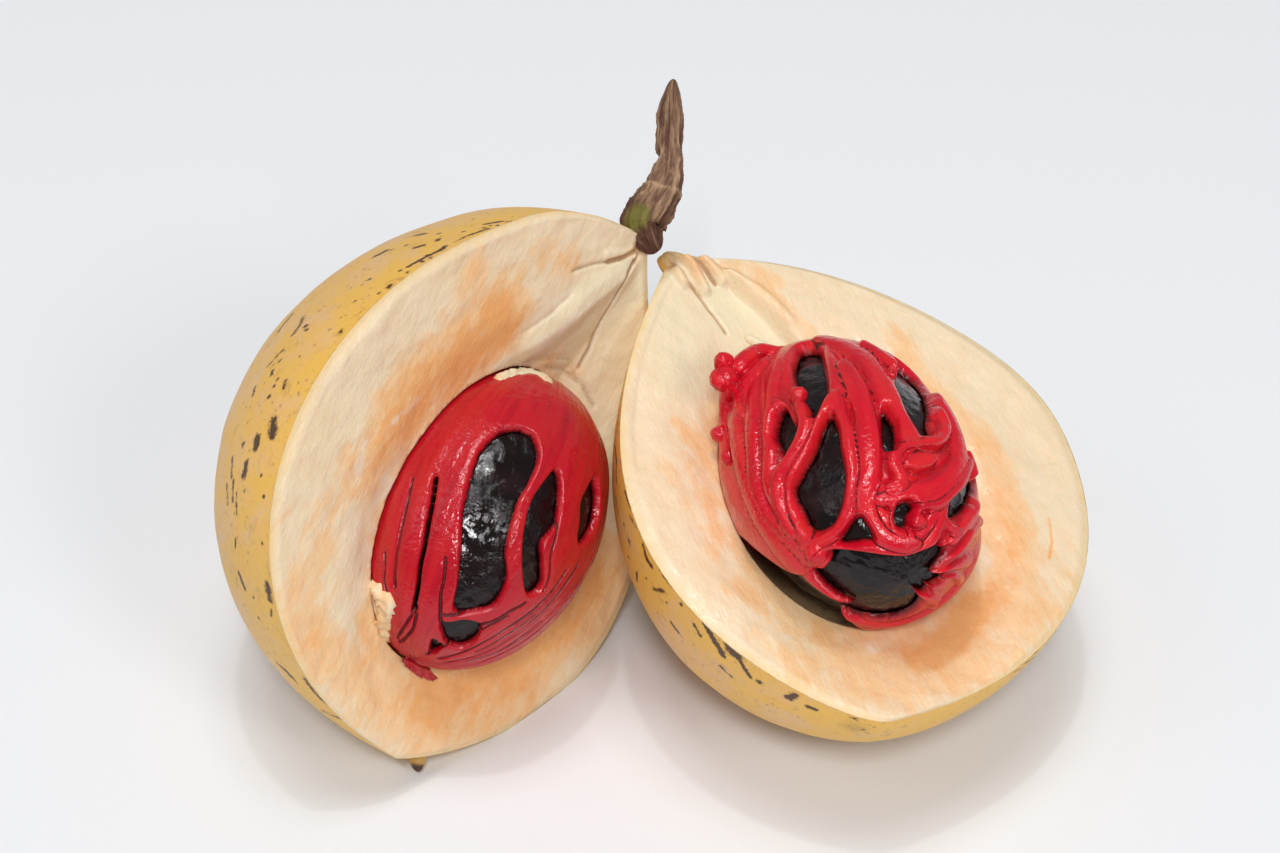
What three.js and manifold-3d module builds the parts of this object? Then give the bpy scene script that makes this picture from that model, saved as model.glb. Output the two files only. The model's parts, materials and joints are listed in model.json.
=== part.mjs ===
// A ripe nutmeg fruit, split open. Its two fleshy halves still hang together at the woody stem, and
// each holds a dark nut wrapped in a scarlet net of mace. The left half stands on its edge and the
// right half lies on its back, both leaning on each other at the neck.
// Units are millimetres, +Z is up, and the fruit rests on z = 0 on a small flat spot under each half.

import * as THREE from 'three';
import { ParametricGeometry } from 'three/addons/geometries/ParametricGeometry.js';
import { mergeVertices } from 'three/addons/utils/BufferGeometryUtils.js';
import Module from 'manifold-3d';

const wasm = await Module();
wasm.setup();

// ---------------------------------------------------------------- driving dimensions

const CLEARANCE = 0.3;          // gap kept between one piece and the next
const MACE_THICKNESS = 1.4;     // from the outside of the mace down to the nut
const CUT_RIM = 0.4;            // rounding of the rim where the flesh meets the skin
const MIDDLE = [-0.37, 4.32];   // middle of the fruit's outline on the ground: the part's origin

// A pose is a place, then a heading about Z, a rise about X and a roll about Y, in degrees.
// Each half starts at its stem end and runs towards -Y, with its cut face looking along +Z.
// A profile is [greatest reach, fullness at the stem end, fullness at the blossom end], with the
// rounding of the blossom point where it has some. A shoulder adds [height, place along the half,
// length] to the outer edge.
const LEFT = {
  side: -1,                     // its outer edge is on -X
  pose: { at: [-0.6, 22.6, 39.6], heading: -30.7, rise: 33.4, roll: 68.0 },
  length: 62.0,
  outer: [32.25, 0.596, 0.441],
  shoulder: [1.3, 0.06, 0.07],
  inner: [20.6, 1.25, 0.86],
  depth: [29.05, 0.461, 0.493],
};
const RIGHT = {
  side: 1,                      // its outer edge is on +X
  pose: { at: [1.3, 24.4, 35.7], heading: 22.8, rise: 16.2, roll: 6.8 },
  length: 60.4,
  outer: [33.7, 0.55, 0.456],
  shoulder: [1.2, 0.42, 0.17],
  inner: [17.0, 1.04, 0.878, 0.03],
  depth: [28.5, 0.44, 0.562],
};

// A seed is placed in its half. Its sizes are half widths to the outside of the mace: across the
// half, along the seed and out of the cut face. Longitude 0 looks out of the cut face, and
// latitude 90 is the end towards the stem.
const LEFT_SEED = {
  pose: { at: [-3.8, -35.6, -0.7], heading: -6, rise: -7, roll: 0 },
  size: [12.7, 17.0, 12.6],
};
const RIGHT_SEED = {
  pose: { at: [5.7, -34.3, 3.3], heading: -11, rise: -22, roll: 0 },
  size: [12.9, 19.6, 12.7],
};

// Gaps in the mace, each a smooth loop through [longitude, latitude] on the seed.
const LEFT_WINDOWS = [
  [[-45, 20], [-34, 15], [-30, -9], [-14, -30], [-18, -42], [-37, -42], [-50, -18], [-57, 3]],
  [[-20, 12], [-13, 2], [-2, -21], [-3, -27], [-13, -21], [-23, -2]],
  [[-1, 19], [9, 8], [11, -1], [6, 2]],
  [[-32, -57], [-10, -48], [-14, -56], [-29, -58]],
];
const RIGHT_WINDOWS = [
  [[-28, 17], [-18, 18], [-19, 4], [-32, -11], [-33, 4]],
  [[-44, -4], [-44, -10], [-57, -17], [-50, -7]],
  [[-26, -16], [-37, -38], [-56, -46], [-73, -42], [-60, -31], [-38, -23]],
  [[12, 5], [18, -8], [22, -23], [17, -26], [10, -9]],
  [[-13, -54], [-5, -56], [-10, -61], [-17, -60]],
  [[43, -37], [47, -46], [41, -54], [34, -52]],
  [[-84, -52], [-52, -68], [-15, -73], [42, -68], [64, -78], [110, -82], [172, -80], [-165, -62],
    [-132, -40], [-105, -47]],
];

// Cords of mace that stand proud of the net: half width, then the route as [longitude, latitude]
// with the height above the net as a third number where it isn't 0.
const RIGHT_CORDS = [
  { half: 0.9, route: [[-35, 2], [-38, -9], [-50, -18], [-66, -22], [-78, -32]] },
  { half: 1.0, route: [[-20, -8], [-31, -14], [-50, -23], [-66, -29], [-77, -41]] },
  { half: 1.0, route: [[-20, -9], [-25, -22], [-34, -39], [-58, -49], [-82, -44]] },
  { half: 1.3, route: [[-10, 4], [-13, -20], [-21, -38], [-35, -52], [-24, -67], [-3, -69]] },
  { half: 1.4, route: [[-6, 30], [3, 8], [4, -14], [8, -29]] },
  { half: 0.8, route: [[10, 22], [22, 2], [30, -20], [20, -29], [0, -32], [-7, -42]] },
  { half: 1.3, route: [[17, 17], [33, -2], [39, -20], [33, -38], [8, -49], [-22, -49]] },
  { half: 0.9, route: [[46, -28], [37, -42], [15, -53], [-1, -57], [4, -62]] },
  { half: 0.8, route: [[-84, -47], [-56, -61], [-12, -73], [20, -68], [27, -52]] },
  { half: 0.8, route: [[50, -22], [59, -32], [60, -45], [45, -62]] },
  { half: 1.4, route: [[-50, 44], [-72, 10], [-88, -20], [-98, -38]] },
  { half: 1.1, route: [[-40, 34], [-58, -6], [-75, -26], [-79, -42]] },
  { half: 0.7, route: [[-150, -43], [-173, -47], [150, -53], [109, -48]] },
  { half: 1.4, route: [[-30, 48], [-40, 44, 1.2], [-50, 36, 2.2], [-58, 30, 2.6]] },
  { half: 1.3, route: [[-58, 30, 2.6], [-62, 28, 2.2], [-72, 30, 1.0], [-84, 22], [-88, 6]] },
  { half: 2.2, route: [[-34, 36], [-48, 32, 0.8], [-60, 27, 0.9], [-70, 14]] },
];

// Round knobs of mace at the upper left of the right seed: radius, longitude, latitude, lift.
const RIGHT_KNOBS = [
  [1.3, -56, 31, 3.3],
  [1.7, -61, 28, 2.5],
  [1.3, -72, 32, 0.9],
];

// The stem's middle line from its root between the halves to its broken tip, and its half width.
const STEM_ROUTE = [
  [0.1, 22.1, 38.5], [-1.0, 22.8, 39.8], [-1.6, 23.8, 41.0], [-0.5, 25.3, 42.2], [0.7, 27.1, 43.4],
  [1.2, 29.5, 44.7], [1.3, 31.9, 46.1], [1.5, 34.7, 47.8], [1.8, 38.1, 50.2],
];
const STEM_RADII = [0.9, 2.0, 2.5, 2.35, 1.95, 1.6, 1.35, 1.4, 0.5];

// Small rods that are part of a half: ends in the half's own frame, and a radius at each end.
const LEFT_BEAK = { ends: [[1.5, -58.4, -0.9], [3.3, -62.2, -1.2]], radii: [1.9, 0.5] };
const RIGHT_NECK_RIDGES = [
  { ends: [[-0.4, 2.2, -0.9], [6.4, -2.6, -1.5]], radii: [1.3, 1.4] },
  { ends: [[-0.3, 1.8, -0.5], [4.2, -3.8, -1.2]], radii: [1.2, 1.3] },
  { ends: [[-0.5, 1.6, -0.5], [1.6, -5.0, -1.4]], radii: [1.2, 1.4] },
];
const RIGHT_SEED_STALK = { ends: [[4.1, -11.8, -1.9], [7.6, -15.8, -2.2]], radii: [0.6, 0.7] };

// ---------------------------------------------------------------- small helpers

const rad = THREE.MathUtils.degToRad;
const lerp = THREE.MathUtils.lerp;
const smooth = THREE.MathUtils.smoothstep;

// Rises from 0 at s = 0 to its reach and back to 0 at s = 1. Small powers make full, blunt ends.
function bulge(s, [reach, stemEnd, blossomEnd, rounding = 0]) {
  const peak = stemEnd / (stemEnd + blossomEnd);
  const fromPoint = (t) => Math.sqrt(t * (t + 2 * rounding));
  const rise = Math.pow(s / peak, stemEnd);
  const fall = Math.pow(fromPoint(1 - s) / fromPoint(1 - peak), blossomEnd);
  return reach * rise * fall;
}

// A soft bump of some height, centred at middle and dying away over its length.
function hump(s, [height, middle, length]) {
  const away = (s - middle) / length;
  return height * Math.exp(-away * away) * Math.min(1, (1 - s) / 0.1, s / 0.02);
}

function poseMatrix({ at, heading, rise, roll }) {
  const turn = new THREE.Euler(rad(rise), rad(roll), rad(heading), 'ZXY');
  return new THREE.Matrix4().makeRotationFromEuler(turn).setPosition(...at);
}

// A closed three.js geometry as a manifold solid, with its points merged and faces outwards.
function solidOf(geometry, matrix) {
  const shell = geometry.clone();
  shell.deleteAttribute('normal');
  shell.deleteAttribute('uv');
  if (matrix) shell.applyMatrix4(matrix);
  const merged = mergeVertices(shell, 1e-4);
  const corners = merged.index.array;
  const triangles = [];
  for (let i = 0; i < corners.length; i += 3) {
    const [a, b, c] = corners.slice(i, i + 3);
    if (a !== b && b !== c && c !== a) triangles.push(a, b, c);
  }
  const vertProperties = new Float32Array(merged.attributes.position.array);
  const build = (list) => new wasm.Manifold(
    new wasm.Mesh({ numProp: 3, vertProperties, triVerts: new Uint32Array(list) }));
  const solid = build(triangles);
  return solid.volume() > 0 ? solid : build(triangles.reverse());
}

function geometryOf(solid) {
  const mesh = solid.getMesh();
  const geometry = new THREE.BufferGeometry();
  geometry.setAttribute('position', new THREE.Float32BufferAttribute(mesh.vertProperties, 3));
  geometry.setIndex([...mesh.triVerts]);
  geometry.computeVertexNormals();
  return geometry;
}

function joined(solids) {
  return solids.reduce((whole, solid) => whole.add(solid));
}

// The main body of a solid, without the loose scraps that a cut can leave.
function mainBody(solid) {
  const bodies = solid.decompose();
  return bodies.reduce((best, body) => (body.volume() > best.volume() ? body : best));
}

// A solid of revolution-like rings: at(along, around) gives a point, and both ends are points.
function ringSolid(at, rings, sides, matrix) {
  const surface = (around, along, target) => target.copy(at(along, around * 2 * Math.PI));
  return solidOf(new ParametricGeometry(surface, sides, rings), matrix);
}

// Takes steps close together near both ends, where the shape turns fastest.
const easeEnds = (t) => 0.5 - 0.5 * Math.cos(Math.PI * t);

// ---------------------------------------------------------------- the fleshy halves

// The neck of the left half has a V-shaped groove that widens and deepens down to the seed.
function leftFaceHeight(x, y) {
  const down = -y;
  const valley = lerp(0.9, 0.1, down / 16);
  const outerEdge = -0.2 - 0.44 * Math.max(0, down - 2.7) - 0.0055 * down * down;
  const innerEdge = 1.4 + 0.52 * down;
  const edge = x < valley ? outerEdge : innerEdge;
  const share = Math.min(1, Math.abs(x - valley) / Math.abs(edge - valley));
  const depth = 3.2 * smooth(down, 0.5, 16) * (1 - smooth(down, 24, 32));
  return -depth * (1 - share);
}

// The neck of the right half has a shelf that lies below the outer part of its face.
function rightFaceHeight(x, y) {
  const down = -y;
  const step = 3.7 + 0.66 * down - 0.0135 * down * down;
  const belowStep = 1 - smooth(x, step - 0.7, step + 0.7);
  const towardsRim = smooth(x, -2.5 - 0.35 * down, step);
  const depth = 1.7 * smooth(down, 0.8, 6) * (1 - smooth(down, 20, 30));
  return -depth * belowStep * (0.35 + 0.65 * towardsRim);
}

// Wet flesh sinks a little round the seed that presses into it.
function dishDepth(x, y, seed) {
  const [cx, cy] = seed.pose.at;
  const [width, along] = seed.size;
  const reach = Math.hypot((x - cx) / width, (y - cy) / along);
  return 0.9 * (1 - smooth(reach, 1.0, 1.42));
}

// One half of the fruit: a flat cut face with relief, and a deep rounded back.
function halfSolid(half, seed, faceHeight) {
  const FACE_SHARE = 0.4;
  const at = (along, around) => {
    const s = easeEnds(along);
    const y = -half.length * s;
    const outer = half.side * (bulge(s, half.outer) + hump(s, half.shoulder));
    const inner = -half.side * bulge(s, half.inner);
    const t = around / (2 * Math.PI);
    if (t <= FACE_SHARE) {
      const x = lerp(inner, outer, t / FACE_SHARE);
      const fromRim = Math.min(Math.abs(x - inner), Math.abs(x - outer));
      const relief = faceHeight(x, y) - dishDepth(x, y, seed);
      const rounding = CUT_RIM * (1 - smooth(fromRim, 0, 1.5));
      return new THREE.Vector3(x, y, relief * smooth(fromRim, 0, 2) - rounding);
    }
    const turn = Math.PI * (t - FACE_SHARE) / (1 - FACE_SHARE);
    const middle = (inner + outer) / 2;
    const z = -CUT_RIM - bulge(s, half.depth) * Math.sin(turn);
    return new THREE.Vector3(middle + (outer - middle) * Math.cos(turn), y, z);
  };
  const ROWS = 28;
  const COLUMNS = 34;
  return ringSolid(at, ROWS, COLUMNS);
}

// A straight, tapered rod between two points, with rounded ends.
function rodSolid({ ends, radii }) {
  const [from, to] = ends.map((end) => new THREE.Vector3(...end));
  const forward = to.clone().sub(from).normalize();
  const side = new THREE.Vector3(0, 0, 1).cross(forward).normalize();
  const up = forward.clone().cross(side);
  const at = (along, around) => {
    const rounding = Math.pow(1 - Math.pow(Math.abs(2 * along - 1), 6), 0.5);
    const width = lerp(...radii, along) * rounding;
    return from.clone().lerp(to, along)
      .addScaledVector(side, width * Math.cos(around))
      .addScaledVector(up, width * Math.sin(around));
  };
  return ringSolid(at, 7, 7);
}

// ---------------------------------------------------------------- the seeds

// A point on a seed, grown by lift and stretched by scale from the seed's middle.
function seedPoint(size, longitude, latitude, lift = 0, scale = 1) {
  const [across, along, out] = size.map((half) => (half + lift) * scale);
  const ring = Math.cos(rad(latitude));
  return new THREE.Vector3(
    across * ring * Math.sin(rad(longitude)),
    along * Math.sin(rad(latitude)),
    out * ring * Math.cos(rad(longitude)));
}

function seedNormal(size, point) {
  const [across, along, out] = size;
  return new THREE.Vector3(
    point.x / across ** 2, point.y / along ** 2, point.z / out ** 2).normalize();
}

function ellipsoidSolid(size, lift, rings, sides, matrix) {
  const at = (along, around) =>
    seedPoint(size, THREE.MathUtils.radToDeg(around), 90 - 180 * along, lift);
  return ringSolid(at, rings, sides, matrix);
}

// The seed's surface laid out flat round its blossom end, as a map of the world is round a pole.
function toMap([longitude, latitude]) {
  const reach = 90 + latitude;
  return new THREE.Vector3(reach * Math.sin(rad(longitude)), reach * Math.cos(rad(longitude)), 0);
}

function fromMap(x, y) {
  return [THREE.MathUtils.radToDeg(Math.atan2(x, y)), Math.hypot(x, y) - 90];
}

// A block that cuts one window out through the mace, straight away from the seed's middle.
function windowSolid(size, loop) {
  const spline = new THREE.CatmullRomCurve3(loop.map(toMap), true, 'centripetal');
  const outline = spline.getPoints(loop.length * 2).slice(0, -1);
  const shape = new THREE.Shape(outline.map((point) => new THREE.Vector2(point.x, point.y)));
  const block = new THREE.ExtrudeGeometry(shape, { depth: 1, steps: 1, bevelEnabled: false });
  const place = block.attributes.position;
  for (let i = 0; i < place.count; i += 1) {
    const scale = lerp(0.8, 1.6, place.getZ(i));
    const [longitude, latitude] = fromMap(place.getX(i), place.getY(i));
    const point = seedPoint(size, longitude, latitude, 0, scale);
    place.setXYZ(i, point.x, point.y, point.z);
  }
  return solidOf(block);
}

// A flattened cord of mace that follows its route over the seed and tapers into it at both ends.
function cordSolid(size, { half, route }) {
  const THICKNESS_SHARE = 0.75;
  const onSeed = route.map(([lon, lat, lift = 0]) => seedPoint(size, lon, lat, 0.1 + lift));
  const line = new THREE.CatmullRomCurve3(onSeed, false, 'centripetal');
  const at = (along, around) => {
    const middle = line.getPoint(along);
    const normal = seedNormal(size, middle);
    const across = line.getTangent(along).cross(normal).normalize();
    const taper = Math.pow(Math.max(0, Math.sin(Math.PI * along)), 0.35);
    return middle
      .addScaledVector(across, half * taper * Math.cos(around))
      .addScaledVector(normal, half * THICKNESS_SHARE * taper * Math.sin(around));
  };
  return ringSolid(at, Math.round(route.length * 1.6), 5);
}

function knobSolid(size, [radius, longitude, latitude, lift]) {
  const middle = seedPoint(size, longitude, latitude, lift);
  return solidOf(new THREE.IcosahedronGeometry(radius, 1),
    new THREE.Matrix4().makeTranslation(middle));
}

// The mace is a shell round the nut, with windows cut through it and cords laid over it.
function maceSolid({ size }, windows, cords, knobs) {
  const RINGS = 16;
  const SIDES = 24;
  let net = ellipsoidSolid(size, 0, RINGS, SIDES);
  for (const loop of windows) net = net.subtract(windowSolid(size, loop));
  for (const cord of cords) net = net.add(cordSolid(size, cord));
  for (const knob of knobs) net = net.add(knobSolid(size, knob));
  const room = ellipsoidSolid(size, CLEARANCE - MACE_THICKNESS, RINGS, SIDES);
  return mainBody(net.subtract(room));
}

function nutSolid({ size }) {
  return ellipsoidSolid(size, -MACE_THICKNESS, 14, 22);
}

// ---------------------------------------------------------------- the stem

// A woody stem: a bent rod with ridged bark, wide at its foot and broken off at its tip.
function stemSolid(grow) {
  const RIDGES = 5;
  const line = new THREE.CatmullRomCurve3(STEM_ROUTE.map((point) => new THREE.Vector3(...point)));
  const last = STEM_RADII.length - 1;
  const at = (along, around) => {
    const middle = line.getPoint(along);
    const forward = line.getTangent(along);
    const side = new THREE.Vector3(1, 0, 0).cross(forward).normalize();
    const across = forward.clone().cross(side);
    const step = Math.min(last - 1, Math.floor(along * last));
    const width = lerp(STEM_RADII[step], STEM_RADII[step + 1], along * last - step) + grow;
    const closing = along === 0 || along === 1 ? 0 : 1;
    const bark = 1 + 0.09 * Math.cos(RIDGES * around + 3 * along);
    return middle
      .addScaledVector(across, width * closing * bark * Math.cos(around))
      .addScaledVector(side, width * closing * bark * Math.sin(around));
  };
  return ringSolid(at, 16, 15);
}

// ---------------------------------------------------------------- fitting the pieces together

const leftPlace = poseMatrix(LEFT.pose);
const rightPlace = poseMatrix(RIGHT.pose);

// Everything below the ground, as seen from inside a half.
function groundSolid(place) {
  const block = new THREE.BoxGeometry(300, 300, 40);
  block.translate(0, 0, -20);
  return solidOf(block, place.clone().invert());
}

function cavitySolid(seed) {
  return ellipsoidSolid(seed.size, CLEARANCE, 18, 28, poseMatrix(seed.pose));
}

// The larger solid that keeps a gap to a half: the same half, pushed out on every side.
function grownHalf(solid, gap) {
  const pushes = [[gap, 0, 0], [-gap, 0, 0], [0, gap, 0], [0, -gap, 0], [0, 0, gap], [0, 0, -gap]];
  return joined(pushes.map((push) => solid.translate(push)));
}

const stemRoom = stemSolid(CLEARANCE);
const rightWhole = halfSolid(RIGHT, RIGHT_SEED, rightFaceHeight);
const rightFlesh = joined([rightWhole, ...RIGHT_NECK_RIDGES.map(rodSolid),
  rodSolid(RIGHT_SEED_STALK)])
  .subtract(cavitySolid(RIGHT_SEED))
  .subtract(stemRoom.transform(rightPlace.clone().invert().elements))
  .subtract(groundSolid(rightPlace));

const rightAsSeenFromLeft = leftPlace.clone().invert().multiply(rightPlace);
const neighbour = grownHalf(rightWhole, 1.4 * CLEARANCE).transform(rightAsSeenFromLeft.elements);
const leftFlesh = halfSolid(LEFT, LEFT_SEED, leftFaceHeight)
  .add(rodSolid(LEFT_BEAK))
  .subtract(cavitySolid(LEFT_SEED))
  .subtract(neighbour)
  .subtract(stemRoom.transform(leftPlace.clone().invert().elements))
  .subtract(groundSolid(leftPlace));

// The left mace is pressed flat where it meets the skin of the right half.
const leftMace = maceSolid(LEFT_SEED, LEFT_WINDOWS, [], [])
  .subtract(neighbour.transform(poseMatrix(LEFT_SEED.pose).invert().elements));
const rightMace = maceSolid(RIGHT_SEED, RIGHT_WINDOWS, RIGHT_CORDS, RIGHT_KNOBS);

// ---------------------------------------------------------------- the scene

function finish(color, roughness) {
  return new THREE.MeshStandardMaterial({ color, roughness, metalness: 0 });
}

function piece(name, solid, material) {
  const mesh = new THREE.Mesh(geometryOf(solid), material);
  mesh.name = name;
  return mesh;
}

function placed(pose, children) {
  const group = new THREE.Group();
  group.position.set(...pose.at);
  group.rotation.set(rad(pose.rise), rad(pose.roll), rad(pose.heading), 'ZXY');
  group.add(...children);
  return group;
}

const leftSeed = placed(LEFT_SEED.pose, [
  piece('left_mace', leftMace, finish(0xb01522, 0.3)),
  piece('left_nut', nutSolid(LEFT_SEED), finish(0x140b0a, 0.2)),
]);
const rightSeed = placed(RIGHT_SEED.pose, [
  piece('right_mace', rightMace, finish(0xb3131f, 0.3)),
  piece('right_nut', nutSolid(RIGHT_SEED), finish(0x120c0b, 0.2)),
]);

const fruit = new THREE.Group();
fruit.position.set(-MIDDLE[0], -MIDDLE[1], 0);
fruit.add(
  placed(LEFT.pose, [piece('left_half', leftFlesh, finish(0xe8c98f, 0.5)), leftSeed]),
  placed(RIGHT.pose, [piece('right_half', rightFlesh, finish(0xecd09a, 0.5)), rightSeed]),
  piece('stem', stemSolid(0), finish(0x5b4032, 0.9)),
);

export default fruit;
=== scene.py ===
"""A ripe nutmeg fruit, split open: two fleshy halves on a woody stem, each with its seed."""

import json
import math

import bpy
import numpy as np
from bpy.props import FloatProperty, FloatVectorProperty, IntProperty, PointerProperty
from mathutils import Matrix, Vector, noise

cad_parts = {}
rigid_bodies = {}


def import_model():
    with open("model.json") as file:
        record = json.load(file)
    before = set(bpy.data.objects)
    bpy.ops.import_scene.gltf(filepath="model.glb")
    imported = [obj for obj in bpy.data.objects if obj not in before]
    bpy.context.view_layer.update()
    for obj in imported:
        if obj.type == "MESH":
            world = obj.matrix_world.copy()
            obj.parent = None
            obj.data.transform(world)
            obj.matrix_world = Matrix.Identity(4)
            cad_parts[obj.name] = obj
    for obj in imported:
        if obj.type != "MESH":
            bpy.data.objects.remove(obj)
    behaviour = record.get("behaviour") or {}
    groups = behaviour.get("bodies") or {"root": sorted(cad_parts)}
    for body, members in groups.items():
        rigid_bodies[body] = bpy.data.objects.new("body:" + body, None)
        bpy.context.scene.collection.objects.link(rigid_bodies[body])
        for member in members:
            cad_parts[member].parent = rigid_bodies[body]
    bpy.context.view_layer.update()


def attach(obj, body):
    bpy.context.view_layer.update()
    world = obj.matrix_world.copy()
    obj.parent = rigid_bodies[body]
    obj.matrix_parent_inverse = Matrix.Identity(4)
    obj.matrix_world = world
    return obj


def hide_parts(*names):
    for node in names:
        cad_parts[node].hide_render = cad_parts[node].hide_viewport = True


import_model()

bl_info = {
    "name": "Split nutmeg fruit",
    "version": (1, 0, 0),
    "blender": (4, 5, 0),
    "location": "View3D > Sidebar > Nutmeg",
    "description": "Builds an opened nutmeg fruit with its mace, nuts and stem",
    "category": "Add Mesh",
}

BODY = "root"
MM = 0.001

# ---------------------------------------------------------------- sizes, in millimetres

MIDDLE = (-0.37, 4.32, 0.0)     # middle of the fruit's outline on the ground
MACE_THICKNESS = 1.4            # from the outside of the mace down to the nut
CUT_RIM = 0.4                   # rounding of the rim where the flesh meets the skin
SEED_DIP = 0.9                  # how far the flesh sinks round a seed
SEED_DIP_REACH = 1.42           # where it is level again, as a share of the seed's size
NO_MACE = -0.8                  # height of the mace's skin in a gap, where the hollow cuts it off
CORD_FOOT = 0.6                 # height at which a cord of the right mace starts to rise
CORD_ROOM = 1.15                # room round a cord's line, in half widths, for its swell
STREAK_RUN = 0.25               # share of their length at which streaks run along a strand
NUT_ROOM = 0.03                 # room between a nut and its mace
GAP_REACH = 3.0                 # how far out from a gap of the mace its edge is looked for
NO_GAP = 9.0                    # distance that is given past it
FAR = 1e9
CAMERA_AT = (-0.00149, -0.24502, 0.2343)    # in metres
CAMERA_TILT = 50.0
SKY_COLOUR = (0.97, 0.98, 1.0, 1.0)
LIT_POINT = (0.0, 0.0, 0.02)    # where every light is aimed, in metres
LIGHTS = (                      # name, place and width in metres
    ("top", (-0.05, -0.02, 1.2), 0.5), ("glint", (-0.05, 0.0, 1.2), 0.05),
    ("front", (0.0, -1.1, 1.35), 0.3), ("right", (0.6, -0.8, 0.8), 0.3),
    ("left", (-0.8, -0.3, 0.9), 0.5),
)

# Cuts along a piece and around it.
HALF_CUTS = (240, 380)
HOLLOW_CUTS = (96, 128)
NUT_CUTS = (160, 220)
STEM_CUTS = (220, 120)

# A profile is the greatest reach, the fullness at the stem end and at the blossom end, and the
# rounding of the blossom point. A shoulder adds height, place along the half and length. The tip
# is where the skin turns brown at the blossom end: a place, and the reach of the full colour and
# of its edge. The sheet of mace has its cuts along and around, how evenly the cuts around are
# spread (below 1 they crowd to the front) and how often it is smoothed.
LEFT = {
    "side": -1, "at": (-0.6, 22.6, 39.6), "turn": (-30.7, 33.4, 68.0), "length": 62.0,
    "outer": (32.25, 0.596, 0.441, 0.0), "shoulder": (1.3, 0.06, 0.07),
    "inner": (20.6, 1.25, 0.86, 0.0), "depth": (29.05, 0.461, 0.493, 0.0),
    "seed_at": (-3.8, -35.6, -0.7), "seed_turn": (-6, -7, 0), "seed": (12.7, 17.0, 12.6),
    "nut_rise": 0.4, "mace_tone": 0.84, "sheet": ((300, 296), 0.56, 1),
    "tip": ((5.0, -62.2, -1.8), 0.5, 4.2),
}
RIGHT = {
    "side": 1, "at": (1.3, 24.4, 35.7), "turn": (22.8, 16.2, 6.8), "length": 60.4,
    "outer": (33.7, 0.55, 0.456, 0.0), "shoulder": (1.2, 0.42, 0.17),
    "inner": (17.0, 1.04, 0.878, 0.03), "depth": (28.5, 0.44, 0.562, 0.0),
    "seed_at": (5.7, -34.3, 3.3), "seed_turn": (-11, -22, 0), "seed": (12.9, 19.6, 12.7),
    "nut_rise": 0.0, "mace_tone": 1.12, "sheet": ((306, 288), 0.66, 2),
    "tip": ((-3.7, -59.6, -3.0), -2.5, 4.0),
}

# Gaps in the mace, as smooth loops through (longitude, latitude) on the seed. Longitude 0 looks
# out of the cut face, and latitude 90 is the end towards the stem.
LEFT_WINDOWS = (
    ((-56, 1), (-57, 9), (-55, 16), (-51, 21), (-45, 24), (-38, 24), (-34, 21), (-31, 17),
     (-30, 9), (-31, -1), (-30, -7), (-28, -14), (-24, -21), (-18, -26), (-14, -31), (-12, -39),
     (-18, -44), (-31, -49), (-39, -37), (-46, -25), (-52, -14), (-54, -7)),
    ((-19, 16), (-14, 11), (-10, 4), (-8, -2), (-10, -10), (-3, -16), (4, -21), (5, -25),
     (0, -27), (-11, -21), (-18, -14), (-22, -7), (-24, 1), (-22, 10)),
    ((8, 25), (15, 21), (20, 14), (20, 7), (14, 0), (9, 1), (6, 6), (2, 13)),
    ((-34, -58), (-27, -55), (-20, -51), (-9, -49), (-1, -54), (1, -60), (-5, -64), (-17, -65),
     (-27, -62)),
    ((-31, -68), (-25, -68), (-19, -68), (-14, -73), (-18, -76)),
)
RIGHT_WINDOWS = (
    ((-25, 29), (-19, 35), (-14, 34), (-12, 28), (-15, 19), (-21, 3), (-25, -3), (-29, -6),
     (-35, -10), (-33, -5), (-33, 2), (-33, 7), (-30, 20)),
    ((-47, 1), (-44, 1), (-44, -3), (-45, -10), (-49, -13), (-54, -15), (-58, -16), (-56, -13),
     (-55, -6), (-51, -2)),
    ((-27, -13), (-27, -19), (-31, -27), (-35, -35), (-42, -41), (-50, -45), (-60, -47),
     (-67, -46), (-72, -44), (-74, -40), (-69, -35), (-67, -30), (-63, -27), (-51, -25),
     (-40, -21), (-34, -17)),
    ((-1, -16), (0, -19), (1, -23), (-2, -30), (-3, -32), (-6, -33), (-7, -30), (-4, -23)),
    ((29, 26), (34, 21), (39, 16), (32, -3), (24, -17), (23, -24), (18, -26), (15, -22),
     (13, -14), (12, -6), (22, 13)),
    ((-11, -55), (-4, -54), (0, -56), (-6, -59), (-10, -63), (-16, -62), (-16, -58)),
    ((66, -23), (61, -35), (45, -53), (39, -56), (34, -54), (37, -48), (55, -33)),
    ((-42, -53), (-42, -55), (-43, -60), (-46, -62), (-52, -60), (-61, -57), (-66, -54),
     (-59, -54), (-49, -53)),
    ((-84, -51), (-73, -56), (-51, -70), (-21, -76), (15, -74), (42, -67), (53, -69), (63, -78),
     (93, -72), (115, -80), (146, -74), (161, -68), (174, -62), (-172, -58), (-160, -55),
     (-148, -53), (-138, -51), (-147, -48), (-164, -43), (180, -35), (165, -20), (165, -6),
     (-176, 4), (-150, 5), (-130, 1), (-119, -4), (-114, -10), (-112, -18), (-111, -28),
     (-111, -37), (-107, -44), (-96, -49)),
)

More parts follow.
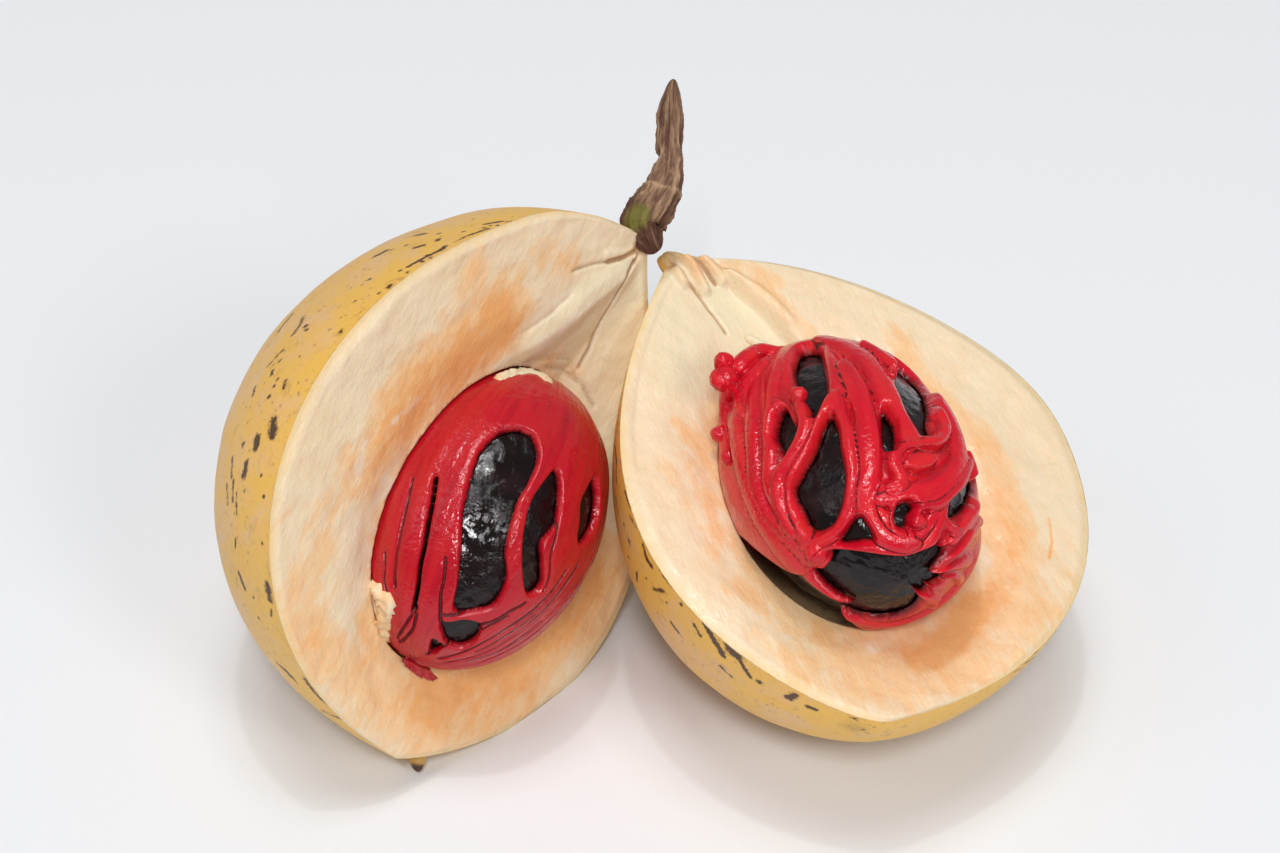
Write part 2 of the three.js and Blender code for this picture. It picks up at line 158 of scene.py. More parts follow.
# Seams between the bands of the left mace: depth, half width and route.
LEFT_SEAMS = (
    (2.20, 0.16, ((-72, -6), (-69, -14), (-67, -22), (-65, -30), (-64, -39), (-62, -47),
                  (-62, -57))),
    (0.60, 0.17, ((-84, -8), (-82, -16), (-81, -26), (-81, -42), (-80, -49))),
    (0.45, 0.16, ((-90, -36), (-89, -42), (-90, -47), (-88, -51))),
    (0.50, 0.15, ((-51, -31), (-47, -39), (-45, -45), (-40, -52), (-36, -56), (-31, -58))),
    (0.50, 0.15, ((-59, -55), (-64, -61), (-75, -69), (-95, -76))),
    (0.50, 0.15, ((-58, -58), (-60, -67), (-76, -75), (-98, -78))),
    (0.50, 0.15, ((-37, -53), (-31, -51), (-24, -47))),
    (0.45, 0.15, ((-10, -49), (-4, -43), (0, -36), (4, -30))),
    (0.40, 0.14, ((-8, -57), (-6, -52), (-3, -45), (1, -38))),
    (0.50, 0.15, ((-16, -64), (-8, -63), (-8, -57))),
    (0.45, 0.15, ((-17, -79), (-17, -71), (-12, -64))),
    (0.40, 0.16, ((8, -76), (7, -71), (7, -61), (8, -48), (12, -34), (14, -22), (14, -11))),
    (0.35, 0.16, ((24, -74), (22, -69), (22, -55), (21, -41), (21, -28), (21, -16), (21, -6))),
    (0.40, 0.16, ((44, -70), (38, -56), (36, -43), (35, -29), (34, -17), (33, -5), (30, 5))),
    (0.35, 0.15, ((-17, 9), (-12, 4), (-6, -3), (-2, -11), (5, -17), (8, -22))),
    (0.25, 0.15, ((46, -60), (46, -40), (45, -20), (43, 0))),
    (0.25, 0.14, ((14, -58), (15, -44), (17, -30))),
    (0.25, 0.14, ((29, -64), (29, -48), (28, -30))),
)

# Cords of the right mace: half width, height of the top above the nut, and route. A third
# number in a route lifts a cord clear of the rest.
RIGHT_CORDS = (
    (1.35, 1.7, ((-43, 47), (-67, 43), (-73, 11), (-81, -6), (-89, -20), (-95, -31), (-101, -40))),
    (1.05, 1.6, ((-38, 48), (-55, 18), (-67, -1), (-78, -12), (-85, -23), (-87, -34), (-92, -44))),
    (0.95, 1.6, ((-32, 33), (-47, 8), (-59, -8), (-70, -17), (-76, -26), (-80, -35), (-79, -44))),
    (0.90, 1.8, ((-35, 2), (-37, -9), (-43, -15), (-54, -19), (-64, -20), (-72, -24), (-78, -30),
                 (-82, -36))),
    (0.95, 1.7, ((-20, -6), (-31, -14), (-43, -21), (-57, -24), (-66, -29), (-72, -35),
                 (-77, -41))),
    (0.95, 1.7, ((-20, -7), (-24, -20), (-29, -32), (-36, -41), (-46, -48), (-61, -49),
                 (-75, -46), (-85, -41))),
    (1.30, 1.9, ((-9, 8), (-11, -14), (-15, -26), (-21, -38), (-29, -44), (-36, -52), (-35, -61),
                 (-24, -67), (-3, -69))),
    (0.60, 1.6, ((-19, -45), (-26, -51), (-26, -58), (-17, -65), (0, -67), (14, -61), (21, -54))),
    (1.45, 1.9, ((-7, 36), (2, 16), (3, -1), (3, -16), (5, -26), (7, -31))),
    (1.10, 1.5, ((-13, 34), (-14, 7), (-18, -7))),
    (0.80, 2.1, ((10, 24), (15, 9), (24, -1), (28, -11), (30, -20), (22, -28), (9, -31),
                 (-1, -33), (-7, -38), (-6, -45), (-16, -47))),
    (1.25, 1.9, ((15, 17), (28, 6), (35, -6), (39, -19), (37, -32), (24, -43), (7, -49),
                 (-13, -50), (-24, -49))),
    (1.15, 2.0, ((1, -39), (8, -38), (17, -36))),
    (0.80, 2.0, ((46, -28), (37, -41), (21, -52), (2, -55), (-1, -60), (6, -61))),
    (0.60, 1.9, ((-15, -54), (-21, -60), (-14, -64))),
    (0.75, 1.6, ((50, -22), (58, -30), (61, -41), (55, -52), (47, -64))),
    (0.70, 1.7, ((30, -58), (43, -59), (52, -58))),
    (0.78, 1.7, ((-84, -47), (-70, -53), (-54, -62), (-40, -70), (-12, -74), (16, -70), (24, -61),
                 (27, -52))),
    (0.65, 1.3, ((-141, -50), (-156, -50), (-173, -49), (170, -51), (150, -53), (129, -52),
                 (109, -48), (96, -42))),
    (0.60, 1.5, ((-46, 6), (-44, -2), (-46, -8))),
)

# Cords of the curled flap at the stem end of the right mace, which stand clear of the net.
RIGHT_FLAP = (
    (1.30, 1.9, ((-25, 50), (-33, 46), (-42, 42, 1.4), (-50, 36, 2.0), (-58, 30, 2.2))),
    (1.10, 1.9, ((-57, 31, 2.2), (-62, 28, 1.8), (-70, 30, 1.0), (-82, 26), (-88, 10))),
    (1.80, 1.7, ((-34, 38), (-46, 34, 0.5), (-58, 28, 0.6), (-70, 14))),
)

# Pointed tongues of mace: half width at the root, height and route.
RIGHT_TONGUES = (
    (1.1, 1.2, ((-104, -42), (-114, -49), (-123, -55), (-133, -61))),
    (0.9, 1.2, ((130, -66), (139, -80), (150, -86))),
    (0.8, 1.2, ((138, -58), (115, -76), (100, -82))),
    (1.1, 1.3, ((91, -52), (80, -66), (66, -79))),
    (1.0, 1.5, ((68, -44), (66, -58), (62, -71))),
    (1.2, 1.4, ((62, -45), (51, -59), (38, -69))),
    (0.8, 1.5, ((74, -40), (60, -52), (50, -57))),
    (0.9, 1.3, ((110, -52), (96, -64), (88, -74))),
)

# Round knobs of the right mace: radius, longitude, latitude and lift.
RIGHT_KNOBS = (
    (1.1, -56, 31, 3.2), (1.5, -61, 28, 2.2), (1.0, -84, 23, 0.3), (0.95, -35, 0, 0.1),
    (1.4, -85, -48, -0.4),
)

# ---------------------------------------------------------------- small sums


def smooth(value, low, high):
    """Eases from 0 at low to 1 at high."""
    share = np.clip((value - low) / (high - low), 0.0, 1.0)
    return share * share * (3.0 - 2.0 * share)


def lerp(start, end, share):
    return start + (end - start) * share


def bulge(s, profile):
    """A half's reach at s, from 0 at the stem end to 0 at the blossom end."""
    reach, stem_end, blossom_end, rounding = profile
    peak = stem_end / (stem_end + blossom_end)

    def from_point(t):
        return np.sqrt(np.maximum(t * (t + 2.0 * rounding), 0.0))

    rise = np.power(np.maximum(s, 0.0) / peak, stem_end)
    fall = np.power(from_point(1.0 - s) / from_point(1.0 - peak), blossom_end)
    return reach * rise * fall


def hump(s, shoulder):
    height, middle, length = shoulder
    fade = np.minimum(1.0, np.minimum((1.0 - s) / 0.1, s / 0.02))
    return height * np.exp(-(((s - middle) / length) ** 2)) * fade


def rotation(turn):
    """The rotation for a heading about Z, then a rise about X and a roll about Y, in degrees."""
    heading, rise, roll = (math.radians(angle) for angle in turn)
    return np.array(Matrix.Rotation(heading, 3, "Z") @ Matrix.Rotation(rise, 3, "X")
                    @ Matrix.Rotation(roll, 3, "Y"))


class Place:
    """A frame of its own for a piece. Its points, in millimetres, go out to the part's frame."""

    def __init__(self, at, turn, parent=None):
        self.at, self.turn, self.parent = np.array(at, float), rotation(turn), parent

    def out(self, points):
        moved = points @ self.turn.T + self.at
        return self.parent.out(moved) if self.parent else moved - MIDDLE

    def back(self, points):
        moved = self.parent.back(points) if self.parent else points + MIDDLE
        return (moved - self.at) @ self.turn

    def whole(self):
        """The rotation and the place in the part's own frame, for a Mapping node."""
        origin = self.out(np.zeros((1, 3)))[0]
        axes = np.array([self.out(row[None])[0] - origin for row in np.eye(3)]).T
        return axes, origin


LEFT_PLACE, RIGHT_PLACE = (Place(half["at"], half["turn"]) for half in (LEFT, RIGHT))
LEFT_SEED, RIGHT_SEED = (Place(half["seed_at"], half["seed_turn"], place)
                         for half, place in ((LEFT, LEFT_PLACE), (RIGHT, RIGHT_PLACE)))


def in_box(line, points, reach):
    """Which points lie in the box round a line, grown by reach on every side."""
    low, high = line.min(axis=0) - reach, line.max(axis=0) + reach
    return ((points > low) & (points < high)).all(axis=1)


def distance_to(route, points, reach=None):
    """How far each point lies from a line through a route's points, or far away past a reach."""
    route = np.asarray(route, float)
    if len(route) == 1 and reach is None:
        return np.linalg.norm(points - route[0], axis=1)
    best = np.full(len(points), FAR)
    if reach is not None:
        near = in_box(route, points, reach)
        best[near] = distance_to(route, points[near])
        return best
    for start, end in zip(route[:-1], route[1:]):
        step = end - start
        share = np.clip(((points - start) @ step) / max(step @ step, 1e-9), 0.0, 1.0)
        best = np.minimum(best, np.linalg.norm(points - start - share[:, None] * step, axis=1))
    return best


def strokes(points, marks):
    """Soft strokes over the cut face: half width, strength and route of each."""
    value = np.zeros(len(points))
    for half_width, strength, route in marks:
        away = distance_to(route, points, 2.0 * half_width)
        value = np.maximum(value, strength * (1.0 - smooth(away, 0.2 * half_width,
                                                           1.8 * half_width)))
    return value


def curve_through(points, steps, closed=False):
    """A smooth curve through points, with so many steps between one and the next."""
    points = np.asarray(points, float)
    count = len(points)
    if closed:
        ring = np.vstack((points[-1], points, points[:2]))
    else:
        ring = np.vstack((2 * points[0] - points[1], points, 2 * points[-1] - points[-2]))
    made = []
    for i in range(count if closed else count - 1):
        a, b, c, d = ring[i:i + 4]
        for t in np.arange(steps) / steps:
            made.append(0.5 * (2 * b + (c - a) * t + (2 * a - 5 * b + 4 * c - d) * t * t
                               + (3 * b - a - 3 * c + d) * t ** 3))
    if not closed:
        made.append(points[-1])
    return np.array(made)


def unit(rows):
    return rows / np.linalg.norm(rows, axis=1)[:, None]


def follow(line, marks, at, step):
    """Points at places on a line whose own points lie at marks, and the way it runs there."""
    middle, ahead, behind = (
        np.stack([np.interp(at + shift, marks, line[:, i]) for i in range(3)], 1)
        for shift in (0.0, step, -step))
    return middle, unit(ahead - behind)


def rumple(points, size, seed, detail=3):
    """Smooth noise between -1 and 1 at each point, with features of about this size."""
    shift = Vector((seed * 7.3, seed * 3.1, seed * 5.7))
    return np.array([noise.fractal(Vector(point) / size + shift, 0.6, 2.1, detail)
                     for point in points])


# ---------------------------------------------------------------- mesh tools


def only(piece):
    """Selects this piece alone and makes it the active one."""
    bpy.ops.object.select_all(action="DESELECT")
    piece.select_set(True)
    bpy.context.view_layer.objects.active = piece


def points_of(piece):
    found = np.zeros(len(piece.data.vertices) * 3, np.float32)
    piece.data.vertices.foreach_get("co", found)
    return found.reshape(-1, 3).astype(float)


def set_points(piece, points):
    """Moves a piece's vertices to points in millimetres, none below the ground, and turns its
    faces outwards."""
    mesh = piece.data
    points = np.column_stack((points[:, :2], np.maximum(points[:, 2], 0.0)))
    mesh.vertices.foreach_set("co", (points * MM).astype(np.float32).ravel())
    mesh.update()
    mesh.calc_loop_triangles()
    corners = np.zeros(len(mesh.loop_triangles) * 3, np.int32)
    mesh.loop_triangles.foreach_get("vertices", corners)
    a, b, c = (points[corners.reshape(-1, 3)[:, i]] for i in range(3))
    if np.einsum("ij,ij->i", a, np.cross(b, c)).sum() < 0:
        mesh.flip_normals()


def add_ball(name, rows, columns):
    """A ball with a pole at each end, and each vertex's share along it and around it."""
    bpy.ops.object.select_all(action="DESELECT")
    bpy.ops.mesh.primitive_uv_sphere_add(segments=columns, ring_count=rows, radius=1.0)
    piece = bpy.context.object
    piece.name = piece.data.name = name
    ball = points_of(piece)
    along = np.round(np.arccos(np.clip(ball[:, 2], -1, 1)) / math.pi * rows) / rows
    around = np.arctan2(ball[:, 1], ball[:, 0]) / (2 * math.pi)
    return piece, along, (np.round(around * columns) / columns) % 1.0


def apply_modifier(piece, kind, **settings):
    only(piece)
    bpy.ops.object.modifier_add(type=kind)
    modifier = piece.modifiers[-1]
    for key, value in settings.items():
        setattr(modifier, key, value)
    bpy.ops.object.modifier_apply(modifier=modifier.name)


def combine(piece, tool, operation="DIFFERENCE"):
    """Cuts the tool out of a piece, or joins it on, and throws the tool away."""
    apply_modifier(piece, "BOOLEAN", object=tool, operation=operation, solver="MANIFOLD")
    bpy.data.objects.remove(tool, do_unlink=True)
    if not piece.data.polygons:
        raise RuntimeError(f"{piece.name} was lost in a cut")


def tag(piece, **values):
    """Stores a number or a vector at each vertex under a name, for a material to read."""
    for name, value in values.items():
        value = np.asarray(value, np.float32)
        kind, key = ("FLOAT", "value") if value.ndim == 1 else ("FLOAT_VECTOR", "vector")
        layer = piece.data.attributes.new(name, kind, "POINT")
        layer.data.foreach_set(key, value.ravel())


def settle(piece, node, material):
    """Shades a finished piece, gives it its material and lets it stand for its CAD node."""
    only(piece)
    piece.data.validate()
    bpy.ops.object.shade_smooth()
    piece.data.materials.clear()
    piece.data.materials.append(material)
    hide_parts(node)
    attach(piece, BODY)


# ---------------------------------------------------------------- materials


class Wire:
    """A socket of a material, with arithmetic that adds the Math nodes for it."""

    def __init__(self, paint, socket):
        self.paint, self.socket = paint, socket

    def sum(self, operation, *values):
        return self.paint.node("ShaderNodeMath", {"operation": operation}, *values)

    def __add__(self, other):
        return self.sum("ADD", self, other)

    def __sub__(self, other):
        return self.sum("SUBTRACT", self, other)

    def __rsub__(self, other):
        return self.sum("SUBTRACT", other, self)

    def __mul__(self, other):
        return self.sum("MULTIPLY", self, other)

    __radd__, __rmul__ = __add__, __mul__

    def most(self, other):
        return self.sum("MAXIMUM", self, other)

    def clamp(self):
        return self.sum("MINIMUM", self.sum("MAXIMUM", self, 0.0), 1.0)

    def eased(self, low, high):
        """Eases from 0 where this is low to 1 where it is high."""
        return self.paint.node("ShaderNodeMapRange", {"interpolation_type": "SMOOTHSTEP"},
                               self, low, high, 0.0, 1.0)


class Paint:
    """One material under construction."""

    def __init__(self, name, **constants):
        self.material = bpy.data.materials.new(name)
        self.material.use_nodes = True
        self.tree = self.material.node_tree
        self.shader = self.tree.nodes["Principled BSDF"]
        for key, value in constants.items():
            self.shader.inputs[key.replace("_", " ").title().replace("Ior", "IOR")
                               ].default_value = value

    def node(self, kind, settings, *inputs, output=0, **named):
        """Adds a node: its settings first, then the values or links of its sockets."""
        made = self.tree.nodes.new(kind)
        for key, value in settings.items():
            setattr(made, key, value)
        free = [socket for socket in made.inputs if socket.enabled]
        pairs = list(zip(free, inputs)) + [(made.inputs[key], value)
                                           for key, value in named.items()]
        for socket, value in pairs:
            if isinstance(value, Wire):
                self.tree.links.new(value.socket, socket)
            else:
                if socket.type == "RGBA" and len(value) == 3:
                    value = (*value, 1.0)
                socket.default_value = value
        outputs = [socket for socket in made.outputs if socket.enabled]
        chosen = made.outputs[output] if isinstance(output, str) else outputs[output]
        return Wire(self, chosen)

    def attribute(self, name):
        return self.node("ShaderNodeAttribute", {"attribute_name": name}, output="Fac")

    def inside(self, place, stretch=(1.0, 1.0, 1.0)):
        """Object coordinates in a piece's own frame, in millimetres, stretched if asked."""
        axes, origin = place.whole()
        turned = Matrix(axes.tolist()).to_euler("XYZ")
        coords = self.node("ShaderNodeTexCoord", {}, output="Object")
        scale = tuple(MM * share for share in stretch)
        return self.node("ShaderNodeMapping", {"vector_type": "TEXTURE"}, coords,
                         tuple(origin * MM), tuple(turned), scale)

    def noise(self, coords, size, detail=3.0, rough=0.55, warp=0.0):
        return self.node("ShaderNodeTexNoise", {}, coords, Scale=1.0 / size, Detail=detail,
                         Roughness=rough, Distortion=warp, output="Fac")

    def cells(self, coords, size):
        return self.node("ShaderNodeTexVoronoi", {}, coords, Scale=1.0 / size, output="Distance")

    def mix(self, share, first, second):
        return self.node("ShaderNodeMix", {"data_type": "RGBA"}, share, first, second)

    def feed(self, **sockets):
        for key, value in sockets.items():
            self.tree.links.new(value.socket, self.shader.inputs[key.replace("_", " ")])

    def bump(self, height, distance):
        """Raises the surface by a height of 0 to 1 times a distance in millimetres."""
        return self.node("ShaderNodeBump", {}, Strength=1.0, Distance=distance * MM,
                         Height=height)


def colour_property(name, description, default):
    return FloatVectorProperty(name=name, description=description, default=default, size=3,
                               subtype="COLOR", min=0.0, max=1.0)


def length_property(name, description, default):
    return FloatProperty(name=name, description=description, default=default, min=0.0,
                         unit="LENGTH", subtype="DISTANCE", precision=5)


def power_property(name, description, default):
    return FloatProperty(name=name, description=description, default=default, min=0.0,
                         unit="POWER")


class FleshSettings(bpy.types.PropertyGroup):
    """Colours and sizes of the fleshy halves."""

    cream: colour_property("Cream", "Flesh near the skin", (0.82, 0.64, 0.41))
    pale: colour_property("Pale", "White streaks and torn edges", (0.85, 0.72, 0.54))
    gold: colour_property("Gold", "Flesh at the rim", (0.80, 0.56, 0.22))
    peach: colour_property("Peach", "Flesh round the seeds", (0.86, 0.55, 0.28))
    blush: colour_property("Blush", "Deepest blushes", (0.84, 0.41, 0.14))
    neck: colour_property("Neck", "Greenish flesh at the neck", (0.80, 0.70, 0.48))
    crease: colour_property("Crease", "Brown lines in the folds", (0.36, 0.16, 0.05))
    skin: colour_property("Skin", "Ripe yellow skin", (0.84, 0.49, 0.09))
    tan: colour_property("Tan", "Duller parts of the skin", (0.79, 0.49, 0.24))
    spot: colour_property("Spot", "Spots and scars on the skin", (0.06, 0.022, 0.01))
    olive: colour_property("Olive", "Skin at the blossom end", (0.40, 0.24, 0.06))
    seed_gap: length_property("Seed gap", "Room left round a seed", 0.00018)


class MaceSettings(bpy.types.PropertyGroup):
    """Colours and sizes of the mace."""

    bright: colour_property("Bright", "Top of the mace", (0.58, 0.005, 0.019))
    warm: colour_property("Warm", "Patches of the mace that lean to orange", (0.60, 0.030, 0.022))
    # Painted shade: deep is the colour laid in the mace's seams and creases and on its parts that
    # lie low over the nut.
    deep: colour_property("Deep", "Creases and edges of the mace", (0.05, 0.001, 0.002))
    sheet: length_property("Sheet", "Thickness of the left mace's sheet", 0.00130)
    net: length_property("Net", "Thickness of the sheet under the right mace's cords", 0.0008)


class NutSettings(bpy.types.PropertyGroup):
    """Colour and sizes of the nuts."""

    shell: colour_property("Shell", "Nut shell", (0.005, 0.0016, 0.0018))
    wrinkle: length_property("Wrinkle", "Height of the shell's wrinkles", 0.00012)


class StemSettings(bpy.types.PropertyGroup):
    """Colours and sizes of the stem."""

    ridge: colour_property("Ridge", "Weathered ridges of the bark", (0.50, 0.32, 0.19))
    bark: colour_property("Bark", "Bark between the ridges", (0.11, 0.05, 0.032))
    moss: colour_property("Moss", "Green patch at the foot", (0.17, 0.16, 0.03))


class StageSettings(bpy.types.PropertyGroup):
    """Floor, lights and camera."""

    floor: colour_property("Floor", "Pale floor", (0.80, 0.815, 0.84))
    top: power_property("Top light", "Strength of the light overhead", 4.6)
    glint: power_property("Glint", "Strength of the small light overhead", 1.3)
    front: power_property("Front light", "Strength of the light above the camera", 11.0)
    right: power_property("Right light", "Strength of the front right light", 2.8)
    left: power_property("Left light", "Strength of the left light", 1.0)
    sky: FloatProperty(name="Sky", description="Strength of the light from all round",
                       default=0.25, min=0.0)
    lens: FloatProperty(name="Lens", description="Focal length in millimetres", default=85.0,
                        min=10.0)
    floor_size: IntProperty(name="Floor size", description="Width of the floor in metres",
                            default=4, min=1)


class FruitSettings(bpy.types.PropertyGroup):
    """Everything that shapes the opened fruit."""

    flesh: PointerProperty(type=FleshSettings, name="Flesh", description="The fleshy halves")
    mace: PointerProperty(type=MaceSettings, name="Mace", description="The red mace")
    nut: PointerProperty(type=NutSettings, name="Nut", description="The nuts")
    stem: PointerProperty(type=StemSettings, name="Stem", description="The woody stem")
    stage: PointerProperty(type=StageSettings, name="Stage", description="Floor and lights")


# ---------------------------------------------------------------- the fleshy halves

FACE_SHARE = 0.50               # share of a half's columns that lie on its cut face
BACK_CROWDING = 1.6             # how the other columns crowd towards the rim of the far side
FACE_WAVES = ((7.0, 3, 0.22), (1.7, 4, 0.05))   # size, seed and height of uneven flesh
BACK_DENTS = (11.0, 6, 0.014)   # size, seed and depth, as a share of the reach
CREASE_DEPTH = 0.4
GROOVE_DEPTH = 2.7              # of the left half's neck
SHELF_DEPTH = 1.7               # of the right half's neck
SEED_BLUSH = (1.22, 0.45)       # reach, as a share of the seed's size, and strength
SPOT_FADE = 2.5                 # where a spot has faded out, in radii

# Lines in the folds of the necks, as half width, strength and route over the cut face.
LEFT_CREASES = (
    (0.26, 1.0, ((-0.9, -1.4), (-2.6, -3.4), (-4.4, -5.0))),
    (0.18, 0.6, ((-4.4, -5.0), (-5.9, -6.0), (-8.3, -8.2))),
    (0.24, 1.0, ((-0.7, -2.1), (-1.4, -4.6), (-0.3, -7.4))),
    (0.20, 0.8, ((-0.3, -7.4), (0.3, -10.7), (1.0, -13.3), (1.2, -15.6))),
    (0.18, 0.5, ((-9.4, -20.9), (-6.6, -18.4), (-3.0, -16.4), (-0.8, -15.5), (1.2, -16.2))),
    (0.6, 0.45, ((-8.6, -21.6), (-6.4, -20.0), (-4.2, -19.4))),
    (0.3, 0.55, ((-3.4, -17.8), (-0.6, -16.6), (2.4, -16.8), (4.8, -18.2))),
    (0.16, 0.4, ((-10.2, -16.6), (-8.6, -13.7), (-7.1, -10.4))),
    (0.9, 1.0, ((-0.6, 0.4), (-0.9, -1.2))),
    (1.0, 0.32, ((-11.4, -22.4), (-8.3, -19.9), (-6.4, -19.2))),
)
RIGHT_CREASES = (
    (1.1, 1.0, ((-0.6, 1.6), (-0.1, -0.2))),
    (0.22, 1.0, ((0.0, 0.7), (0.8, -1.6), (1.2, -2.9), (2.0, -4.6))),
    (0.20, 0.8, ((2.0, -4.6), (2.3, -5.5), (2.6, -7.1), (3.2, -9.8))),
    (0.22, 0.9, ((2.4, 0.6), (3.4, -1.2), (4.4, -3.6))),
    (0.18, 0.5, ((4.4, 0.0), (5.2, -1.6), (6.0, -2.6))),
)
# Raised folds of the necks, as half width, height and route over the cut face.
LEFT_FOLDS = (
    (1.5, 0.55, ((-7.8, -17.2), (-6.0, -13.8), (-4.5, -9.5), (-2.0, -5.0))),
    (0.5, 0.30, ((-1.6, -2.6), (-3.2, -3.4), (-5.0, -4.4))),
)
RIGHT_FOLDS = (
    (0.55, 0.80, ((-0.8, 0.4), (-0.1, -1.0), (0.6, -3.1))),
    (0.50, 0.85, ((1.4, 0.6), (2.3, -1.6), (2.9, -4.2))),
    (0.45, 0.65, ((3.6, 0.0), (4.4, -1.8), (5.3, -3.6))),
    (0.40, 0.25, ((6.0, -2.9), (8.4, -5.8), (9.7, -8.5), (10.4, -10.9))),
)
LEFT_BLUSH = (
    (4.0, 1.0, ((-14.0, -17.5), (-16.5, -22.5), (-19.2, -28.0), (-20.6, -31.5))),
    (2.8, 0.75, ((-20.6, -31.5), (-21.2, -35.5), (-21.6, -39.0))),
    (2.4, 0.42, ((-9.6, -7.4), (-12.4, -8.4))),
    (1.2, 0.42, ((-20.9, -12.4), (-20.6, -18.0), (-21.6, -21.4))),
    (1.4, 0.34, ((-14.8, -12.0), (-15.2, -16.0))),
    (2.2, 0.35, ((-23.6, -38.0), (-23.5, -46.0), (-21.9, -52.4))),
    (3.0, 0.42, ((-19.7, -55.0), (-12.0, -56.4), (-4.0, -57.0), (3.0, -55.6))),
    (1.2, 0.55, ((-12.4, -51.6), (-9.0, -53.6), (-4.0, -54.6))),
    (4.6, 0.85, ((1.5, -54.5), (5.9, -51.2), (10.2, -46.5), (13.2, -40.5), (14.4, -34.0))),
    (1.3, 0.95, ((3.1, -51.6), (6.4, -49.8), (9.4, -45.8))),
    (1.0, 0.50, ((-5.4, -18.2), (-1.6, -15.8), (1.4, -16.0))),
    (0.7, 0.60, ((-1.2, -1.6), (-3.0, -4.0))), (0.6, 0.60, ((-0.4, -2.0), (0.0, -5.0))),
)
RIGHT_BLUSH = (
    (1.3, 0.80, ((6.0, -2.9), (8.4, -5.8), (9.7, -8.5), (10.4, -10.9), (11.4, -13.6),
                 (14.0, -17.0))),
    (1.4, 0.45, ((7.6, -3.0), (10.4, -5.6))),
    (1.4, 0.50, ((21.1, -14.9), (21.4, -19.5))),
    (2.2, 0.55, ((20.4, -22.4), (24.1, -30.3), (24.8, -34.4), (23.6, -38.4))),
    (2.6, 0.62, ((23.6, -38.4), (20.5, -46.3), (17.0, -49.6))),
    (2.2, 0.95, ((5.9, -53.9), (9.0, -53.2), (13.0, -51.0), (15.0, -49.4))),
    (1.6, 0.40, ((-2.0, -51.6), (2.0, -52.6), (5.9, -53.9))),
    (0.8, 0.60, ((-7.3, -20.2), (-6.5, -23.7), (-6.2, -26.4))),
    (1.8, 0.45, ((-7.6, -26.0), (-8.0, -30.0), (-8.6, -35.0))),
    (1.1, 0.30, ((-11.2, -25.0), (-10.6, -31.0), (-10.2, -38.0))),
    (2.0, 0.40, ((-9.6, -42.0), (-6.0, -46.4), (-1.0, -50.0))),
    (2.6, 0.30, ((-8.0, -52.0), (2.0, -57.0), (12.0, -56.4), (20.0, -51.6))),
    (0.14, 0.9, ((27.2, -42.0), (26.2, -44.8), (24.9, -46.6))),
    (0.6, 0.80, ((-0.6, 0.6), (-0.1, -1.0), (0.5, -2.8))),
    (0.6, 0.80, ((1.4, 0.6), (2.3, -1.6), (2.8, -3.8))),
    (0.5, 0.70, ((3.6, 0.0), (4.4, -1.8), (5.3, -3.6))),
    (0.8, 1.00, ((5.0, -10.2), (6.4, -12.3), (7.6, -14.0))),
)
LEFT_NECK = (
    (1.6, 1.0, ((-1.4, -7.0), (-1.8, -11.0), (-1.6, -15.5))),
    (0.9, 1.0, ((-10.4, -21.4), (-8.3, -19.9), (-6.6, -19.0))),
    (2.4, 1.0, ((-7.6, -17.0), (-5.8, -13.4), (-4.2, -9.2), (-2.0, -5.0))),
    (3.6, 0.9, ((1.2, -4.3), (2.8, -7.8), (4.4, -12.5), (6.6, -16.8), (8.6, -22.0))),
)
RIGHT_NECK = (
    (3.4, 1.0, ((4.4, -6.0), (6.4, -10.0), (8.2, -14.0))),
    (3.0, 0.7, ((-1.2, -3.0), (-3.0, -10.0), (-5.0, -16.0))),
)
LEFT_PALE = (
    (0.9, 0.8, ((-10.5, -15.9), (-8.8, -12.8), (-7.3, -10.4))),
    (0.9, 0.9, ((-7.4, -17.0), (-5.8, -13.6), (-4.6, -10.4))),
    (0.8, 0.9, ((-23.2, -36.2), (-22.0, -40.0))),
    (0.5, 0.7, ((-21.2, -32.6), (-19.4, -29.2))),
    (2.0, 0.8, ((-15.6, -52.0), (-14.6, -48.8))),
    (1.5, 0.6, ((-20.6, -42.0), (-18.6, -47.4))),
    (1.0, 0.6, ((-12.2, -48.4), (-11.0, -49.6))),
)
RIGHT_PALE = (
    (1.0, 0.6, ((0.4, -52.0), (3.8, -51.0))),
    (1.6, 0.5, ((-10.0, -14.0), (-10.8, -24.0))),
    (1.4, 0.5, ((5.0, -8.0), (6.8, -11.4))),
)

